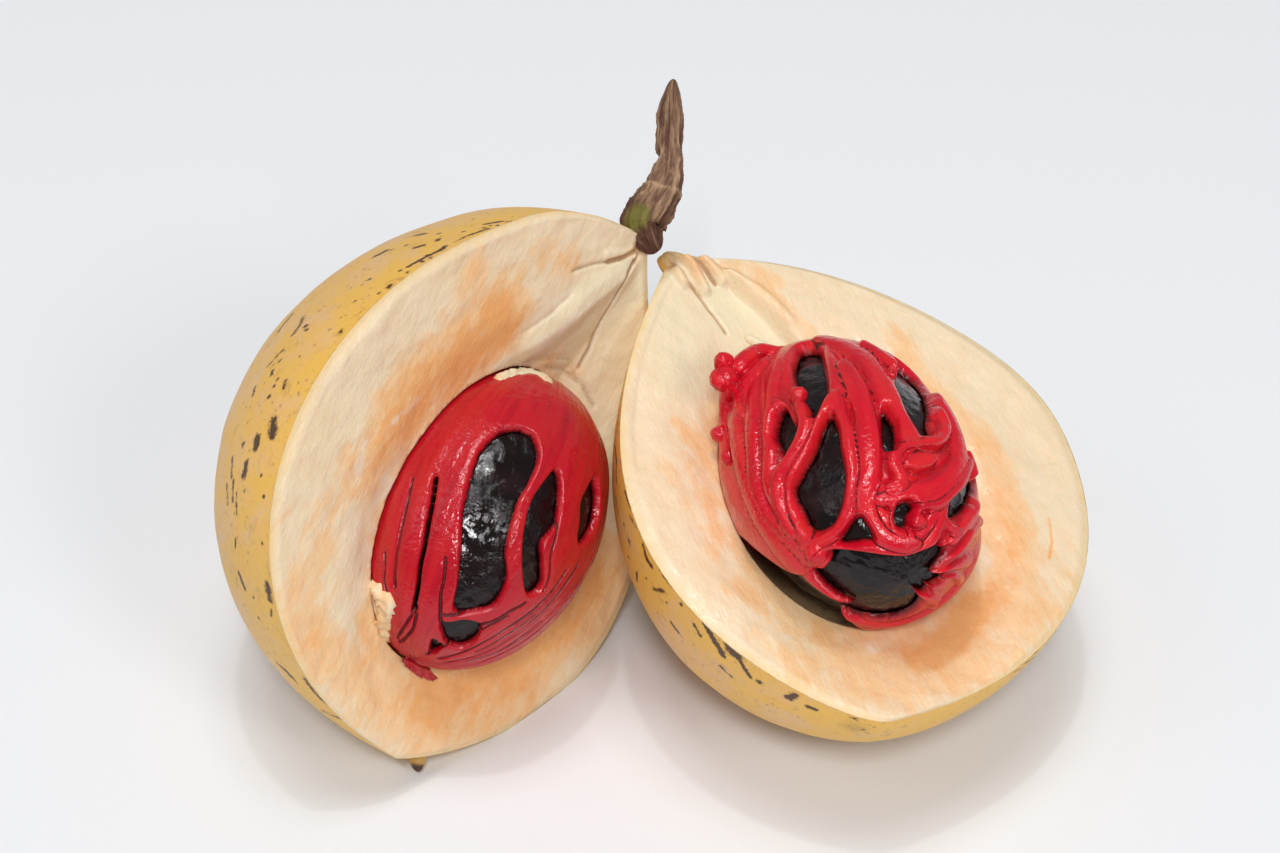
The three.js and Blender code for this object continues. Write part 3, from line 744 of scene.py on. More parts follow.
# Spots and scars on the skin: radius, strength and the routes that share them, each one to
# four points in a half's own frame.
LEFT_SPOTS = (
    (0.32, 0.62, (-27.3, -26.2, -14.9, -28.1, -28.5, -14.5)),
    (0.21, 0.62, (-29.2, -26.5, -10.4, -29.9, -27.8, -9.5, -30, -28.5, -9.5)),
    (0.16, 0.90, (-30.1, -27.7, -8.3, -30.5, -28.3, -7.3),
     (-30.4, -35.3, -10.7, -30.5, -36.1, -10.5), (-30.7, -43.9, -3), (-30.1, -45.8, -1.9),
     (-21.1, -56.1, -4.8), (-27.3, -18.7, -2.3)),
    (0.16, 0.95, (-30.1, -29.1, -9.6), (-30.9, -32.4, -8.4), (-29.6, -45.8, -5.6),
     (-26.8, -50.1, -7.2, -26.2, -50.8, -7.1), (-23.9, -14.8, -7.3),
     (-26.8, -18, -2, -25.5, -16.4, -1.7, -24.3, -15.2, -1.2), (-25.2, -15.8, -1.8),
     (-19.9, -9.5, -2.7, -18.7, -8.3, -1.5)),
    (0.19, 0.95, (-30.5, -31, -9.4)),
    (0.16, 0.60, (-30.5, -31.4, -9.5, -30.4, -32.9, -10.6), (-27.8, -49.6, -1.6),
     (-29.6, -23.7, -3.6), (-29.6, -25.4, -1.3), (-23, -13.2, -1.5, -22.4, -12.3, -1.6),
     (-31.5, -31.5, -5.1), (-31.3, -29.7, -4), (-31, -27.7, -3.5)),
    (0.16, 0.80, (-30.9, -33.5, -8.8, -31, -34, -8.5), (-31.6, -35.1, -6.5), (-23.3, -54.5, -4.6),
     (-14.6, -58.1, -10.1), (-14.4, -59.6, -3.9, -13.5, -60, -4), (-24.3, -15.8, -8.7),
     (-22.1, -12.2, -5.7), (-24.2, -14.8, -1.4, -23.9, -14.2, -1.6), (-25.2, -16.8, -1),
     (-28.6, -22.3, -1.5), (-28, -20.6, -5.2), (-21.6, -11.3, -3.1), (-22.1, -12, -1.6),
     (-21.6, -11.5, -1.4, -20.3, -10.4, -1), (-20.6, -10.1, -1.8), (-19.4, -9.4, -0.9)),
    (0.20, 0.72, (-31.8, -34.1, -5.1, -31.9, -35.2, -4.6)),
    (0.16, 0.70, (-31.6, -34.2, -6.7), (-29.4, -42.9, -10.1, -29.1, -44.7, -9.2),
     (-28.5, -45.4, -10.1, -28, -47.2, -9.2), (-29, -46.1, -7.2, -28.3, -47.8, -6.7),
     (-23, -55.2, -1.5, -22.4, -55.6, -1.9), (-26.6, -19.1, -1.2),
     (-18.6, -8.5, -1, -18.1, -8.2, -0.6)),
    (0.19, 0.80, (-31.5, -36.4, -6.7)),
    (0.46, 0.85, (-31.8, -38.6, -3.9, -31.7, -39.9, -3.2)),
    (0.36, 1.00, (-31.3, -40.5, -5.5, -31.1, -41.4, -5.3)),
    (0.28, 0.70, (-30.5, -41.4, -8.2)),
    (0.30, 1.00, (-30.5, -43.1, -6.3, -30.2, -44.2, -6.2)),
    (0.16, 0.85, (-29.2, -44.9, -8.5, -28.4, -46.9, -8), (-19.9, -9.5, -1.6)),
    (0.32, 0.66, (-30.6, -28.1, -1.6)),
    (0.21, 0.85, (-24.4, -52.8, -7.2, -23.4, -53.9, -6.4)),
    (0.32, 0.78, (-25.1, -52.9, -1.3, -23.8, -54.2, -1.3)),
    (0.21, 0.75, (-15.7, -58.9, -5.9, -15.1, -59.2, -5.1)),
    (0.28, 0.95, (-15.3, -59.2, -4.7, -14.3, -59.7, -4.2)),
    (0.24, 0.80, (-15.4, -59.4, -1, -13.9, -60, -1, -12.5, -60.4, -0.7, -11.3, -60.5, -0.1)),
    (0.16, 0.75, (-8.5, -60.8, -6.5)),
    (0.23, 0.70, (-9.3, -61.1, -3.7, -9.2, -61.2, -0.6)),
    (0.32, 0.95, (-24.9, -17, -10, -24.6, -16.3, -9.5)),
    (0.21, 0.80, (-21.9, -12.9, -9.4, -22, -12.6, -8.2)),
    (0.21, 0.90, (-24.6, -15.2, -5.3, -24.2, -14.6, -4.7)),
    (0.17, 0.95, (-23.5, -13.6, -4.1, -23, -13.1, -4.1)),
    (0.23, 0.95, (-24.3, -15.1, -1.3)),
    (0.17, 1.00, (-25.6, -17.3, -1.1)),
    (0.27, 0.85, (-27.9, -21.5, -1.2)),
    (0.17, 0.85, (-16, -6.3, -0.3, -15.3, -5.9, -0.1)),
)
RIGHT_SPOTS = (
    (0.16, 0.75, (-12.3, -16.8, -1.7, -13.4, -19.1, -2.6, -13.7, -19.9, -4.2),
     (-15.5, -25.6, -5, -15.8, -27.2, -5.5), (-16.3, -27.3, -0.8, -16.7, -29.7, -0.4),
     (-12.9, -47.6, -4.8, -12.2, -48.7, -5.2), (-2.9, -58, 0),
     (13.6, -57.8, -0.1, 15.6, -57.3, -0.1, 18.6, -56.3, -0.8)),
    (0.16, 0.95, (-14, -20.4, -3.1, -14.9, -22.7, -2.5, -15.2, -23.9, -3.5), (-16.2, -31.7, -6.8),
     (-16.2, -36.2, -0.3), (-16.3, -34.1, -6.2, -16, -34.3, -7.8)),
    (0.16, 0.80, (-15.4, -24.4, -3.4, -15.5, -24.9, -3.4), (-15.3, -24, -0.4, -15.5, -24.5, -0.4),
     (-16.6, -38.2, -0.5), (-16.1, -39.7, -3.4), (-15, -44, -1.9, -14.6, -44.8, -2.7),
     (16.7, -57.3, -1.2, 18.9, -56.2, -2.3)),
    (0.16, 0.55, (-16.8, -30.3, -1.3, -16.8, -32.9, -0.4)),
    (0.18, 0.85, (-16.5, -29.6, -4.1)),
    (0.26, 0.95, (-16.6, -31.3, -4.3)),
    (0.19, 0.90, (-16.9, -34.2, -1, -16.8, -35.4, -1.7, -16.8, -36.3, -1.6), (-16.6, -37.5, -0.4),
     (-16.4, -38.8, -0.4, -16.1, -40, -0.4)),
    (0.16, 0.90, (-16.6, -36.1, -4.3), (-15.8, -41.7, -1.1), (-15.4, -41.1, -5.7, -15, -42, -5.9),
     (-10.4, -52, -0.4)),
    (0.16, 0.85, (-16.4, -37.8, -4, -16.3, -39, -2.3), (-9.2, -53.4, -0.3)),
    (0.17, 0.95, (-15.3, -42.9, -0.4)),
    (0.26, 1.00, (-14.7, -44.8, -0.4, -14.1, -46.2, -1.3, -13.5, -47.2, -2.1, -13.3, -47.6, -2.7)),
    (0.45, 1.00, (-13.2, -48, -0.5, -13, -48.4, -0.9, -12.6, -49, -1)),
    (0.17, 1.00, (-12.5, -49.2, -1.2, -11.4, -50.7, -2.8)),
    (0.23, 0.95, (-10.8, -51.6, -2.6)),
    (0.30, 0.90, (-8.8, -54.2, -2.4, -8.5, -54.6, -1.3)),
    (0.20, 0.85, (-7.5, -55.7, -2.1, -6.7, -56.4, -1.9)),
    (0.16, 0.70, (-5.9, -56.6, -0.3), (-8.4, -12.2, -0.5, -10.9, -15, -0.4), (-11.7, -15.7, -1.5)),
    (0.21, 0.72, (-4.1, -58.7, -0.9, -2.8, -59.2, -0.2)),
    (0.16, 0.60, (-2.6, -59.4, -2.6), (15.5, -57.8, -1.4, 17.2, -57, -2.7)),
    (0.19, 0.85, (27.5, -49.3, -1.4, 26.9, -50.3, -1.6)),
)

# Rods fused on to a half, as ends in the half's own frame, a radius at each end and a seed.
RIGHT_RODS = (
    (((-0.2, 1.3, -1.1), (4.6, -1.2, -1.3)), (0.9, 1.0), 1),
    (((-0.1, 1.2, -0.8), (2.4, -2.2, -1.0)), (0.8, 0.9), 2),
    (((-0.4, 1.2, -0.8), (0.5, -2.6, -1.1)), (0.7, 0.9), 3),
    (((5.2, -10.4, -2.0), (7.9, -14.4, -1.6)), (0.55, 0.7), 4),
)
LEFT_ROD = (((3.4, -58.4, -3.0), (5.0, -62.0, -1.7)), (2.0, 0.45), 5)

# A torn scrap of the left mace: middle, radii, roughness, grain and cuts.
LEFT_SCRAP = ((-2.6, -52.7, -0.5), (2.3, 0.6, 0.45), 0.4, (0.45, 8, 4), (40, 48))

# Scraps of flesh that lie over the left mace: half width, height, route and raggedness.
LEFT_SHREDS = (
    (0.85, 1.62, ((-76, 44), (-74, 52), (-70, 60), (-58, 66), (-45, 64), (-40, 59)), 0.3),
    (1.05, 1.85, ((-108, -49), (-98, -53), (-89, -57), (-94, -62), (-105, -66), (-118, -70),
                  (-150, -73)), 0.45),
    (1.10, 1.50, ((-114, -50), (-108, -56), (-112, -62), (-125, -68)), 0.3),
)

LEFT_MARKS = {"blush": LEFT_BLUSH, "crease": LEFT_CREASES, "fold": LEFT_FOLDS,
              "neck": LEFT_NECK, "pale": LEFT_PALE, "spots": LEFT_SPOTS}
RIGHT_MARKS = {"blush": RIGHT_BLUSH, "crease": RIGHT_CREASES, "fold": RIGHT_FOLDS,
               "neck": RIGHT_NECK, "pale": RIGHT_PALE, "spots": RIGHT_SPOTS}


def left_relief(x, y):
    """The groove in the neck of the left half, which widens and deepens down to the seed."""
    down = -y
    valley = lerp(0.9, 0.1, down / 16.0)
    outer_edge = -0.2 - 0.44 * np.maximum(0.0, down - 2.7) - 0.0055 * down * down
    edge = np.where(x < valley, outer_edge, 1.4 + 0.52 * down)
    share = np.minimum(1.0, np.abs(x - valley) / np.abs(edge - valley))
    return (-GROOVE_DEPTH * smooth(down, 0.5, 16.0) * (1.0 - smooth(down, 24.0, 32.0))
            * (1.0 - share))


def right_relief(x, y):
    """The shelf in the neck of the right half, below the outer part of its face."""
    down = -y
    step = 3.7 + 0.66 * down - 0.0135 * down * down
    below = 1.0 - smooth(x, step - 0.7, step + 0.7)
    towards_rim = smooth(x, -2.5 - 0.35 * down, step)
    depth = SHELF_DEPTH * smooth(down, 0.8, 6.0) * (1.0 - smooth(down, 20.0, 30.0))
    return -depth * below * (0.35 + 0.65 * towards_rim)


def seed_reach(half, x, y):
    """How far out a point of the cut face lies from the seed's middle, as a share of its size."""
    return np.hypot((x - half["seed_at"][0]) / half["seed"][0],
                    (y - half["seed_at"][1]) / half["seed"][1])


def face_height(half, relief, x, y):
    return relief(x, y) - SEED_DIP * (1.0 - smooth(seed_reach(half, x, y), 1.0, SEED_DIP_REACH))


def half_edges(half, s):
    """Where the outer and the inner edge of the cut face are."""
    return (half["side"] * (bulge(s, half["outer"]) + hump(s, half["shoulder"])),
            -half["side"] * bulge(s, half["inner"]))


def add_half(name, half, relief, marks):
    """A half of the fruit: a cut face with relief, and a deep rounded back."""
    piece, along, around = add_ball(name, *HALF_CUTS)
    s = 0.5 - 0.5 * np.cos(math.pi * along)
    y = -half["length"] * s
    outer, inner = half_edges(half, s)
    across = np.clip(around / FACE_SHARE, 0.0, 1.0)
    x = lerp(inner, outer, lerp(across, 0.5 - 0.5 * np.cos(math.pi * across), 0.5))
    from_rim = np.minimum(np.abs(x - inner), np.abs(x - outer))
    rounding = CUT_RIM * (1.0 - smooth(from_rim, 0.0, 1.5))
    face = face_height(half, relief, x, y)
    flat = np.stack((x, y), 1)
    uneven = np.zeros(len(x))
    for size, seed, height in FACE_WAVES:
        uneven += rumple(np.stack((x, y, 0 * x), 1), size, seed) * height
    uneven += strokes(flat, marks["fold"]) - CREASE_DEPTH * strokes(flat, marks["crease"])
    face_z = (face + uneven) * smooth(from_rim, 0.0, 2.0) - rounding
    share = np.clip((around - FACE_SHARE) / (1.0 - FACE_SHARE), 0.0, 1.0)
    if half["side"] < 0:
        turn = math.pi * share ** BACK_CROWDING
    else:
        turn = math.pi * (1.0 - (1.0 - share) ** BACK_CROWDING)
    middle = (inner + outer) / 2.0
    back_x = middle + (outer - middle) * np.cos(turn)
    back_z = -CUT_RIM - bulge(s, half["depth"]) * np.sin(turn)
    size, seed, depth = BACK_DENTS
    dents = rumple(np.stack((back_x, y, back_z), 1), size, seed)
    dents = 1.0 + depth * np.sin(turn) ** 2 * dents
    back_x, back_z = middle + (back_x - middle) * dents, back_z * dents
    on_face = around <= FACE_SHARE
    local = np.stack((np.where(on_face, x, back_x), y, np.where(on_face, face_z, back_z)), 1)
    return piece, local


def paint_flesh(piece, half, place, relief, marks):
    """Works out, at each vertex, how far in from the rim it is and which colours meet there."""
    local = place.back(points_of(piece) / MM)
    x, y, z = local.T
    s = np.clip(-y / half["length"], 0.0, 1.0)
    end, near, far = half["tip"]
    outer, inner = half_edges(half, s)
    middle, width = (inner + outer) / 2.0, np.maximum(np.abs(outer - inner) / 2.0, 1e-3)
    from_rim = np.minimum(np.abs(x - inner), np.abs(x - outer))
    share = np.clip((x - middle) / width, -1.0, 1.0)
    skin_z = -CUT_RIM - bulge(s, half["depth"]) * np.sqrt(1.0 - share * share)
    face_z = face_height(half, relief, x, y)
    seed_local = Place(half["seed_at"], half["seed_turn"])
    inside_seed = np.linalg.norm(((local - seed_local.at) @ seed_local.turn)
                                 / (np.array(half["seed"]) + 0.5), axis=1) < 1.0
    cut = (np.abs(z - face_z) < np.abs(z - skin_z)) | (z > face_z) | inside_seed
    rim = np.where(cut, from_rim, np.minimum(z + CUT_RIM, 0.0))
    flat = np.stack((x, y), 1)
    reach, strength = SEED_BLUSH
    close = (1.0 - smooth(seed_reach(half, x, y), 1.0, reach)) * strength
    on_cut = smooth(rim, -0.1, 0.8)
    tag(piece, rim=rim, blush=np.maximum(strokes(flat, marks["blush"]), close) * on_cut,
        crease=strokes(flat, marks["crease"]), neck=strokes(flat, marks["neck"]) * on_cut,
        pale=strokes(flat, marks["pale"]),
        tip=1.0 - smooth(np.linalg.norm(local - end, axis=1), near, far),
        spots=skin_marks(local, marks["spots"]), low=smooth(s, 0.55, 1.0))


def skin_marks(local, marks):
    """How strongly each point belongs to a spot, each spot's route laid on the nearest points."""
    value = np.zeros(len(local))
    for radius, strength, *routes in marks:
        for route in routes:
            laid = [local[np.argmin(np.linalg.norm(local - stop, axis=1))]
                    for stop in np.reshape(route, (-1, 3))]
            away = distance_to(laid, local, SPOT_FADE * radius)
            value = np.maximum(value, strength * (1.0 - away / (SPOT_FADE * radius)))
    return value


def add_rod(name, place, ends, radii, seed):
    """A tapered rod between two points, with rounded ends and an uneven side."""
    piece, along, around = add_ball(name, 28, 24)
    start, end = (np.array(point, float) for point in ends)
    forward = (end - start) / np.linalg.norm(end - start)
    side = np.cross((0, 0, 1), forward)
    side /= np.linalg.norm(side)
    up = np.cross(forward, side)
    width = lerp(radii[0], radii[1], along) * np.sqrt(np.maximum(
        0.0, 1.0 - np.abs(2.0 * along - 1.0) ** 6))
    angle = 2.0 * math.pi * around
    local = (start + np.outer(along, end - start) + np.outer(width * np.cos(angle), side)
             + np.outer(width * np.sin(angle), up))
    local += rumple(local, 1.6, seed)[:, None] * 0.12 * (local - start - np.outer(
        along, end - start))
    set_points(piece, place.out(local))
    return piece


# ---------------------------------------------------------------- the seeds


def on_globe(along, around):
    """Longitude and latitude from a ball's shares along it and around it."""
    return 360.0 * around, 90.0 - 180.0 * along


def seed_points(size, longitude, latitude, lift=0.0):
    """Points on a seed, grown by lift, in the seed's own frame."""
    longitude, latitude = np.radians(longitude), np.radians(latitude)
    ring = np.cos(latitude)
    return np.stack(((size[0] + lift) * ring * np.sin(longitude),
                     (size[1] + lift) * np.sin(latitude),
                     (size[2] + lift) * ring * np.cos(longitude)), -1)


def mid_mace(size, longitude, latitude):
    """Points in the middle of the mace, where its gaps, seams and cords are measured."""
    return seed_points(size, longitude, latitude, -MACE_THICKNESS / 2)


def add_ellipsoid(name, half, place, lift, cuts=HOLLOW_CUTS, bumps=None):
    """A smooth seed, grown by lift on every side."""
    piece, along, around = add_ball(name, *cuts)
    longitude, latitude = on_globe(along, around)
    if bumps is not None:
        lift = lift + bumps(seed_points(half["seed"], longitude, latitude))
    set_points(piece, place.out(seed_points(half["seed"], longitude, latitude, lift)))
    return piece


def add_cord(name, half, place, half_width, top, route, ragged=0.0):
    """A fleshy cord laid along a route over the nut, rounded at its ends and ragged if asked."""
    knots = np.array([(stop + (0.0,))[:3] for stop in route], float)
    thick = 0.3 + 0.55 * half_width
    lift = top - thick - MACE_THICKNESS
    line = curve_through(np.vstack([seed_points(half["seed"], lon, lat, rise + lift)
                                    for lon, lat, rise in knots]), 12)
    run = np.concatenate(([0.0], np.cumsum(np.linalg.norm(np.diff(line, axis=0), axis=1))))
    rows = max(14, int(run[-1] / 0.25))
    piece, along, around = add_ball(name, rows, 24)
    middle, forward = follow(line, run, along * run[-1], 0.3)
    normal = middle / np.array(half["seed"]) ** 2
    normal = unit(normal - np.einsum("ij,ij->i", normal, forward)[:, None] * forward)
    across = np.cross(forward, normal)
    from_end = np.minimum(along, 1.0 - along) * run[-1] / (1.1 * half_width)
    taper = np.sqrt(np.maximum(0.0, 1.0 - (1.0 - np.minimum(from_end, 1.0)) ** 2))
    swell = 1.0 + 0.09 * np.sin(along * run[-1] * 0.9 + len(knots) * 1.7 + knots[0, 0])
    angle = 2.0 * math.pi * around
    local = (middle + (half_width * taper * swell * np.cos(angle))[:, None] * across
             + (thick * taper * np.sin(angle))[:, None] * normal)
    if ragged:
        local += (local - middle) * ragged * rumple(local, 0.9, 31, 4)[:, None]
    set_points(piece, place.out(local))
    return piece


def add_lump(name, place, middle, radii, rough, grain, cuts):
    """A lump with three radii round a point. Its grain is the noise's size, seed and detail."""
    piece, along, around = add_ball(name, *cuts)
    ball = seed_points((1.0, 1.0, 1.0), *on_globe(along, around))
    ball *= (1.0 + rough * rumple(ball, *grain))[:, None]
    set_points(piece, place.out(middle + ball * radii))
    return piece


def to_map(longitude, latitude):
    """The seed's surface laid flat round its blossom end."""
    reach = 90.0 + latitude
    longitude = np.radians(longitude)
    return np.stack((reach * np.sin(longitude), reach * np.cos(longitude)), 1)


def window_edge(size, loops, longitude, latitude):
    """Distance to the nearest gap's edge in millimetres, below 0 inside the gap."""
    points = mid_mace(size, longitude, latitude)
    flat = to_map(longitude, latitude)
    nearest = np.full(len(points), NO_GAP)
    for loop in loops:
        knots = np.array(loop, float)
        ring = curve_through(to_map(knots[:, 0], knots[:, 1]), 4, closed=True)
        edge = mid_mace(size, np.degrees(np.arctan2(ring[:, 0], ring[:, 1])),
                        np.hypot(ring[:, 0], ring[:, 1]) - 90.0)
        middle = edge.mean(axis=0)
        close = np.linalg.norm(points - middle, axis=1) < (
            np.linalg.norm(edge - middle, axis=1).max() + GAP_REACH)
        away = distance_to(np.vstack((edge, edge[:1])), points[close])
        ring_next = np.roll(ring, -1, axis=0)
        crossed = np.zeros(close.sum(), bool)
        px, py = flat[close].T
        for (ax, ay), (bx, by) in zip(ring, ring_next):
            spans = (ay > py) != (by > py)
            if ay != by:
                crossed ^= spans & (px < (bx - ax) * (py - ay) / (by - ay) + ax)
        signed = np.where(crossed, -away, away)
        nearest[close] = np.minimum(nearest[close], signed)
    return nearest


def lip(edge, width):
    """The rounded lip of a sheet of mace, from 0 at the edge of a gap to 1 a width away."""
    rise = np.sin(0.5 * math.pi * np.clip(edge / width, 0.0, 1.0)) ** 0.8
    return np.where(edge < 0, np.maximum(edge * 1.6, NO_MACE), rise)


def beside(line, points):
    """Each point's distance from a line, its side of it and how far along it lies."""
    best, side, run = np.full(len(points), FAR), np.zeros(len(points)), np.zeros(len(points))
    done = 0.0
    for start, end in zip(line[:-1], line[1:]):
        step = end - start
        long = max(np.linalg.norm(step), 1e-6)
        away = points - start
        share = np.clip(away @ step / long ** 2, 0.0, 1.0)
        away = away - share[:, None] * step
        gap = np.linalg.norm(away, axis=1)
        nearer = gap < best
        best[nearer], run[nearer] = gap[nearer], done + share[nearer] * long
        leaning = np.cross(step, away[nearer])
        side[nearer] = np.sign(np.einsum("ij,ij->i", leaning, points[nearer]))
        done += long
    return best, side, run


def cord_relief(size, cords, longitude, latitude, foot, pointed=False):
    """The highest cord's height at each point, the strand there, and how close a crease lies."""
    points = mid_mace(size, longitude, latitude)
    height, second = np.full(len(points), NO_MACE), np.full(len(points), NO_MACE)
    shoulder = np.ones(len(points))
    turn = np.radians(longitude)
    strand = np.stack((26.0 * turn, STREAK_RUN * points[:, 1], 0.0 * turn), 1)
    for number, (half_width, top, route) in enumerate(cords):
        knots = np.array(route, float)
        line = curve_through(mid_mace(size, knots[:, 0], knots[:, 1]), 7)
        near = in_box(line, points, CORD_ROOM * half_width)
        away, side, run = beside(line, points[near])
        whole = np.linalg.norm(np.diff(line, axis=0), axis=1).sum()
        width = half_width * (1.0 + 0.08 * np.sin(run * 0.9 + 1.7 * number))
        from_end = np.minimum(run, whole - run) / half_width
        if pointed:
            width *= np.clip(1.03 - run / whole, 0.0, 1.0)
        else:
            width *= np.sqrt(1.0 - (1.0 - np.clip(from_end + 0.25, 0.0, 1.0)) ** 2)
        across = np.clip(away / np.maximum(width, 1e-3), 0.0, 1.0)
        rise = np.sqrt(1.0 - across ** 3.0)
        raised = np.where(across < 1.0, foot + (top - foot) * rise, NO_MACE)
        higher = raised > height[near]
        second[near] = np.maximum(second[near], np.minimum(raised, height[near]))
        chosen = np.flatnonzero(near)[higher]
        height[chosen], shoulder[chosen] = raised[higher], across[higher]
        strand[chosen] = np.stack((2.2 * (away * side)[higher], STREAK_RUN * run[higher],
                                   np.full(higher.sum(), 3.7 * number + 5.0)), 1)
    # The crease mask marks where one cord meets a lower one and each cord's edge; the mace's
    # material paints shade there.
    crease = (1.0 - smooth(height - second, 0.0, 0.45)) * smooth(shoulder, 0.4, 0.8)
    return height, strand, np.maximum(crease, smooth(shoulder, 0.9, 1.0) * (height > 0))


def add_sheet(name, half, place, height):
    """A closed skin of mace whose height above the nut varies over the seed."""
    cuts, front, smoothing = half["sheet"]
    piece, along, around = add_ball(name, *cuts)
    turn = 2.0 * around - 1.0
    longitude = 180.0 * turn * (front + (1.0 - front) * turn * turn)
    latitude = 90.0 - 180.0 * along
    lift = height(longitude, latitude) - MACE_THICKNESS
    set_points(piece, place.out(seed_points(half["seed"], longitude, latitude, lift)))
    apply_modifier(piece, "SMOOTH", factor=0.5, iterations=smoothing)
    return piece


def finish_mace(piece, half, place, node, settings, grooves):
    """Hollows a mace out over its nut, and notes how high each vertex stands above the nut."""
    inside = half["nut_rise"] - MACE_THICKNESS + NUT_ROOM
    combine(piece, add_ellipsoid(f"{node}_hollow", half, place, inside, (64, 96)))
    local = place.back(points_of(piece) / MM)
    axes = np.array(half["seed"]) - MACE_THICKNESS
    share = np.linalg.norm(local / axes, axis=1)
    longitude = np.degrees(np.arctan2(local[:, 0] / axes[0], local[:, 2] / axes[2]))
    latitude = np.degrees(np.arcsin(np.clip(local[:, 1] / axes[1] / share, -1.0, 1.0)))
    # The seam mask and the level both become painted shade in the mace's material.
    groove, strand = grooves(longitude, latitude)
    tag(piece, level=(1.0 - 1.0 / share) * np.linalg.norm(local, axis=1), groove=groove,
        strand=strand)
    settle(piece, node, mace_paint(node, place, settings, half["mace_tone"]))


# ---------------------------------------------------------------- finishes


def flesh_paint(name, place, settings):
    """Moist cream flesh with peach blushes, inside a thin freckled yellow skin."""
    paint = Paint(name, subsurface_weight=0.12, subsurface_scale=0.003, specular_ior_level=0.45)
    coords = paint.inside(place)
    along = paint.inside(place, (1.0, 3.2, 1.0))
    rim = paint.attribute("rim")
    cloud = paint.noise(coords, 6.0, 4.0, 0.6, 0.6)
    fleck = paint.noise(coords, 1.4, 5.0, 0.62)
    grain = paint.noise(along, 1.1, 5.0, 0.65, 0.3)
    fibre = paint.noise(along, 0.5, 4.0, 0.6)
    mottle = cloud + grain - 1.0
    colour = paint.mix((grain * 0.6 + cloud * 0.9).eased(0.5, 1.0) * 0.5 + 0.5,
                       settings.pale, settings.cream)
    low = paint.attribute("low")
    blush = paint.attribute("blush")
    curd = paint.noise(along, 1.7, 6.0, 0.7, 0.5)
    patch = blush + low * 0.22 + mottle * 0.9 + curd * 0.7 - 0.35
    colour = paint.mix(patch.eased(0.14, 0.52) * 0.85, colour, settings.peach)
    core = (patch + curd * 0.6 - 0.3).eased(0.45, 1.1)
    colour = paint.mix(core * 0.9, colour, settings.blush)
    neck = (paint.attribute("neck") * (grain * 1.2 + 0.35)).clamp()
    colour = paint.mix(neck, colour, settings.neck)
    pale = (paint.attribute("pale") + mottle * 1.6).eased(0.35, 0.95)
    colour = paint.mix(pale * 0.75, colour, settings.pale)
    crease = (paint.attribute("crease") + fibre * 0.6 - 0.3).eased(0.15, 0.9)
    colour = paint.mix(crease * 0.75, colour, settings.crease)
    gold = 1 - (rim + fleck * 1.4).eased(0.6, 1.9)
    colour = paint.mix(gold * 0.55, colour, settings.gold)
    deep = (rim * -0.05).clamp() * 0.35
    skin_shade = (deep + cloud * 1.5 + fleck * 0.4 - 0.72).eased(0.2, 0.75)
    skin = paint.mix(skin_shade, settings.skin, settings.tan)
    stain = paint.noise(coords, 2.4, 5.0, 0.7, 0.5).eased(0.56, 0.74)
    skin = paint.mix(stain * 0.4, skin, settings.crease)
    pore = paint.cells(coords, 1.1).eased(0.0, 0.30)
    few = paint.noise(coords, 5.0, 2.0).eased(0.46, 0.60)
    skin = paint.mix((1 - pore) * few * 0.8, skin, settings.crease)
    ragged = paint.noise(coords, 0.7, 6.0, 0.75, 0.6)
    spots = paint.attribute("spots") * 1.25 + (ragged - 0.5) * 2.2
    skin = paint.mix(spots.eased(0.05, 0.7) * 0.6, skin, settings.crease)
    skin = paint.mix(spots.eased(0.36, 0.70) * 0.93, skin, settings.spot)
    is_skin = 1 - (rim + fleck * 0.4).eased(0.02, 0.3)
    colour = paint.mix(is_skin, colour, skin)
    tip = paint.attribute("tip") * is_skin.most(0.3)
    colour = paint.mix((tip + ragged * 0.5 - 0.25).eased(0.1, 0.7) * 0.75, colour,
                       settings.olive)
    colour = paint.mix((tip + ragged * 0.2 - 0.1).eased(0.8, 0.97), colour,
                       settings.spot)
    wet = paint.noise(coords, 2.6, 3.0).eased(0.42, 0.66) * (1 - is_skin)
    relief = (fleck * 0.5 + fibre * 0.5) * (1 - is_skin * 0.8)
    rough = paint.node("ShaderNodeMapRange", {}, wet, 0.0, 1.0, 0.50, 0.18)
    paint.feed(Base_Color=colour, Roughness=rough, Normal=paint.bump(relief, 0.18))
    return paint.material


def mace_paint(name, place, settings, tone):
    """Wet crimson mace with fine streaks along each strand, and painted shade in its creases and
    low parts.
    """
    paint = Paint(name, specular_ior_level=0.45, subsurface_weight=0.06, subsurface_scale=0.0012)
    coords = paint.inside(place)
    strand = paint.node("ShaderNodeAttribute", {"attribute_name": "strand"}, output="Vector")
    streak = paint.noise(strand, 1.0, 4.0, 0.6)
    fibre = paint.noise(strand, 0.35, 3.0, 0.6)
    cloud = paint.noise(coords, 4.0, 3.0)
    band = paint.noise(strand, 3.6, 3.0)
    # Painted shade: the seams and creases are darkened almost to the deep colour.
    groove = paint.attribute("groove").eased(0.30, 0.75)
    # Painted shade: parts that lie low over the nut, at the lips of the gaps and the edges of the
    # bands, fade to the deep colour.
    high = (paint.attribute("level") + cloud * 0.3).eased(0.15, 1.25)
    shade = (high * (streak * 0.6 + band * 0.9 + 0.2)).clamp() * (1 - groove * 0.95)
    colour = paint.mix(shade, settings.deep, tuple(tone * v for v in settings.bright))
    warm = (cloud * 0.5 + band * 0.5).eased(0.42, 0.64) * 0.4
    colour = paint.mix(warm * (1 - groove), colour, tuple(tone * v for v in settings.warm))
    rough = paint.node("ShaderNodeMapRange", {}, paint.noise(coords, 1.5, 4.0, 0.6), 0.35, 0.65,
                       0.05, 0.20)
    turned = paint.node("ShaderNodeVectorMath", {"operation": "MULTIPLY"}, strand,
                        (0.5, 12.0, 1.0))
    relief = (streak * 0.3 + fibre * 0.15 + paint.noise(coords, 0.8, 2.0, 0.5) * 0.9
              + paint.noise(turned, 1.0, 2.0, 0.5) * 0.4 - groove)
    paint.feed(Base_Color=colour, Roughness=rough + groove * 0.3,
               Normal=paint.bump(relief, 0.13))
    return paint.material


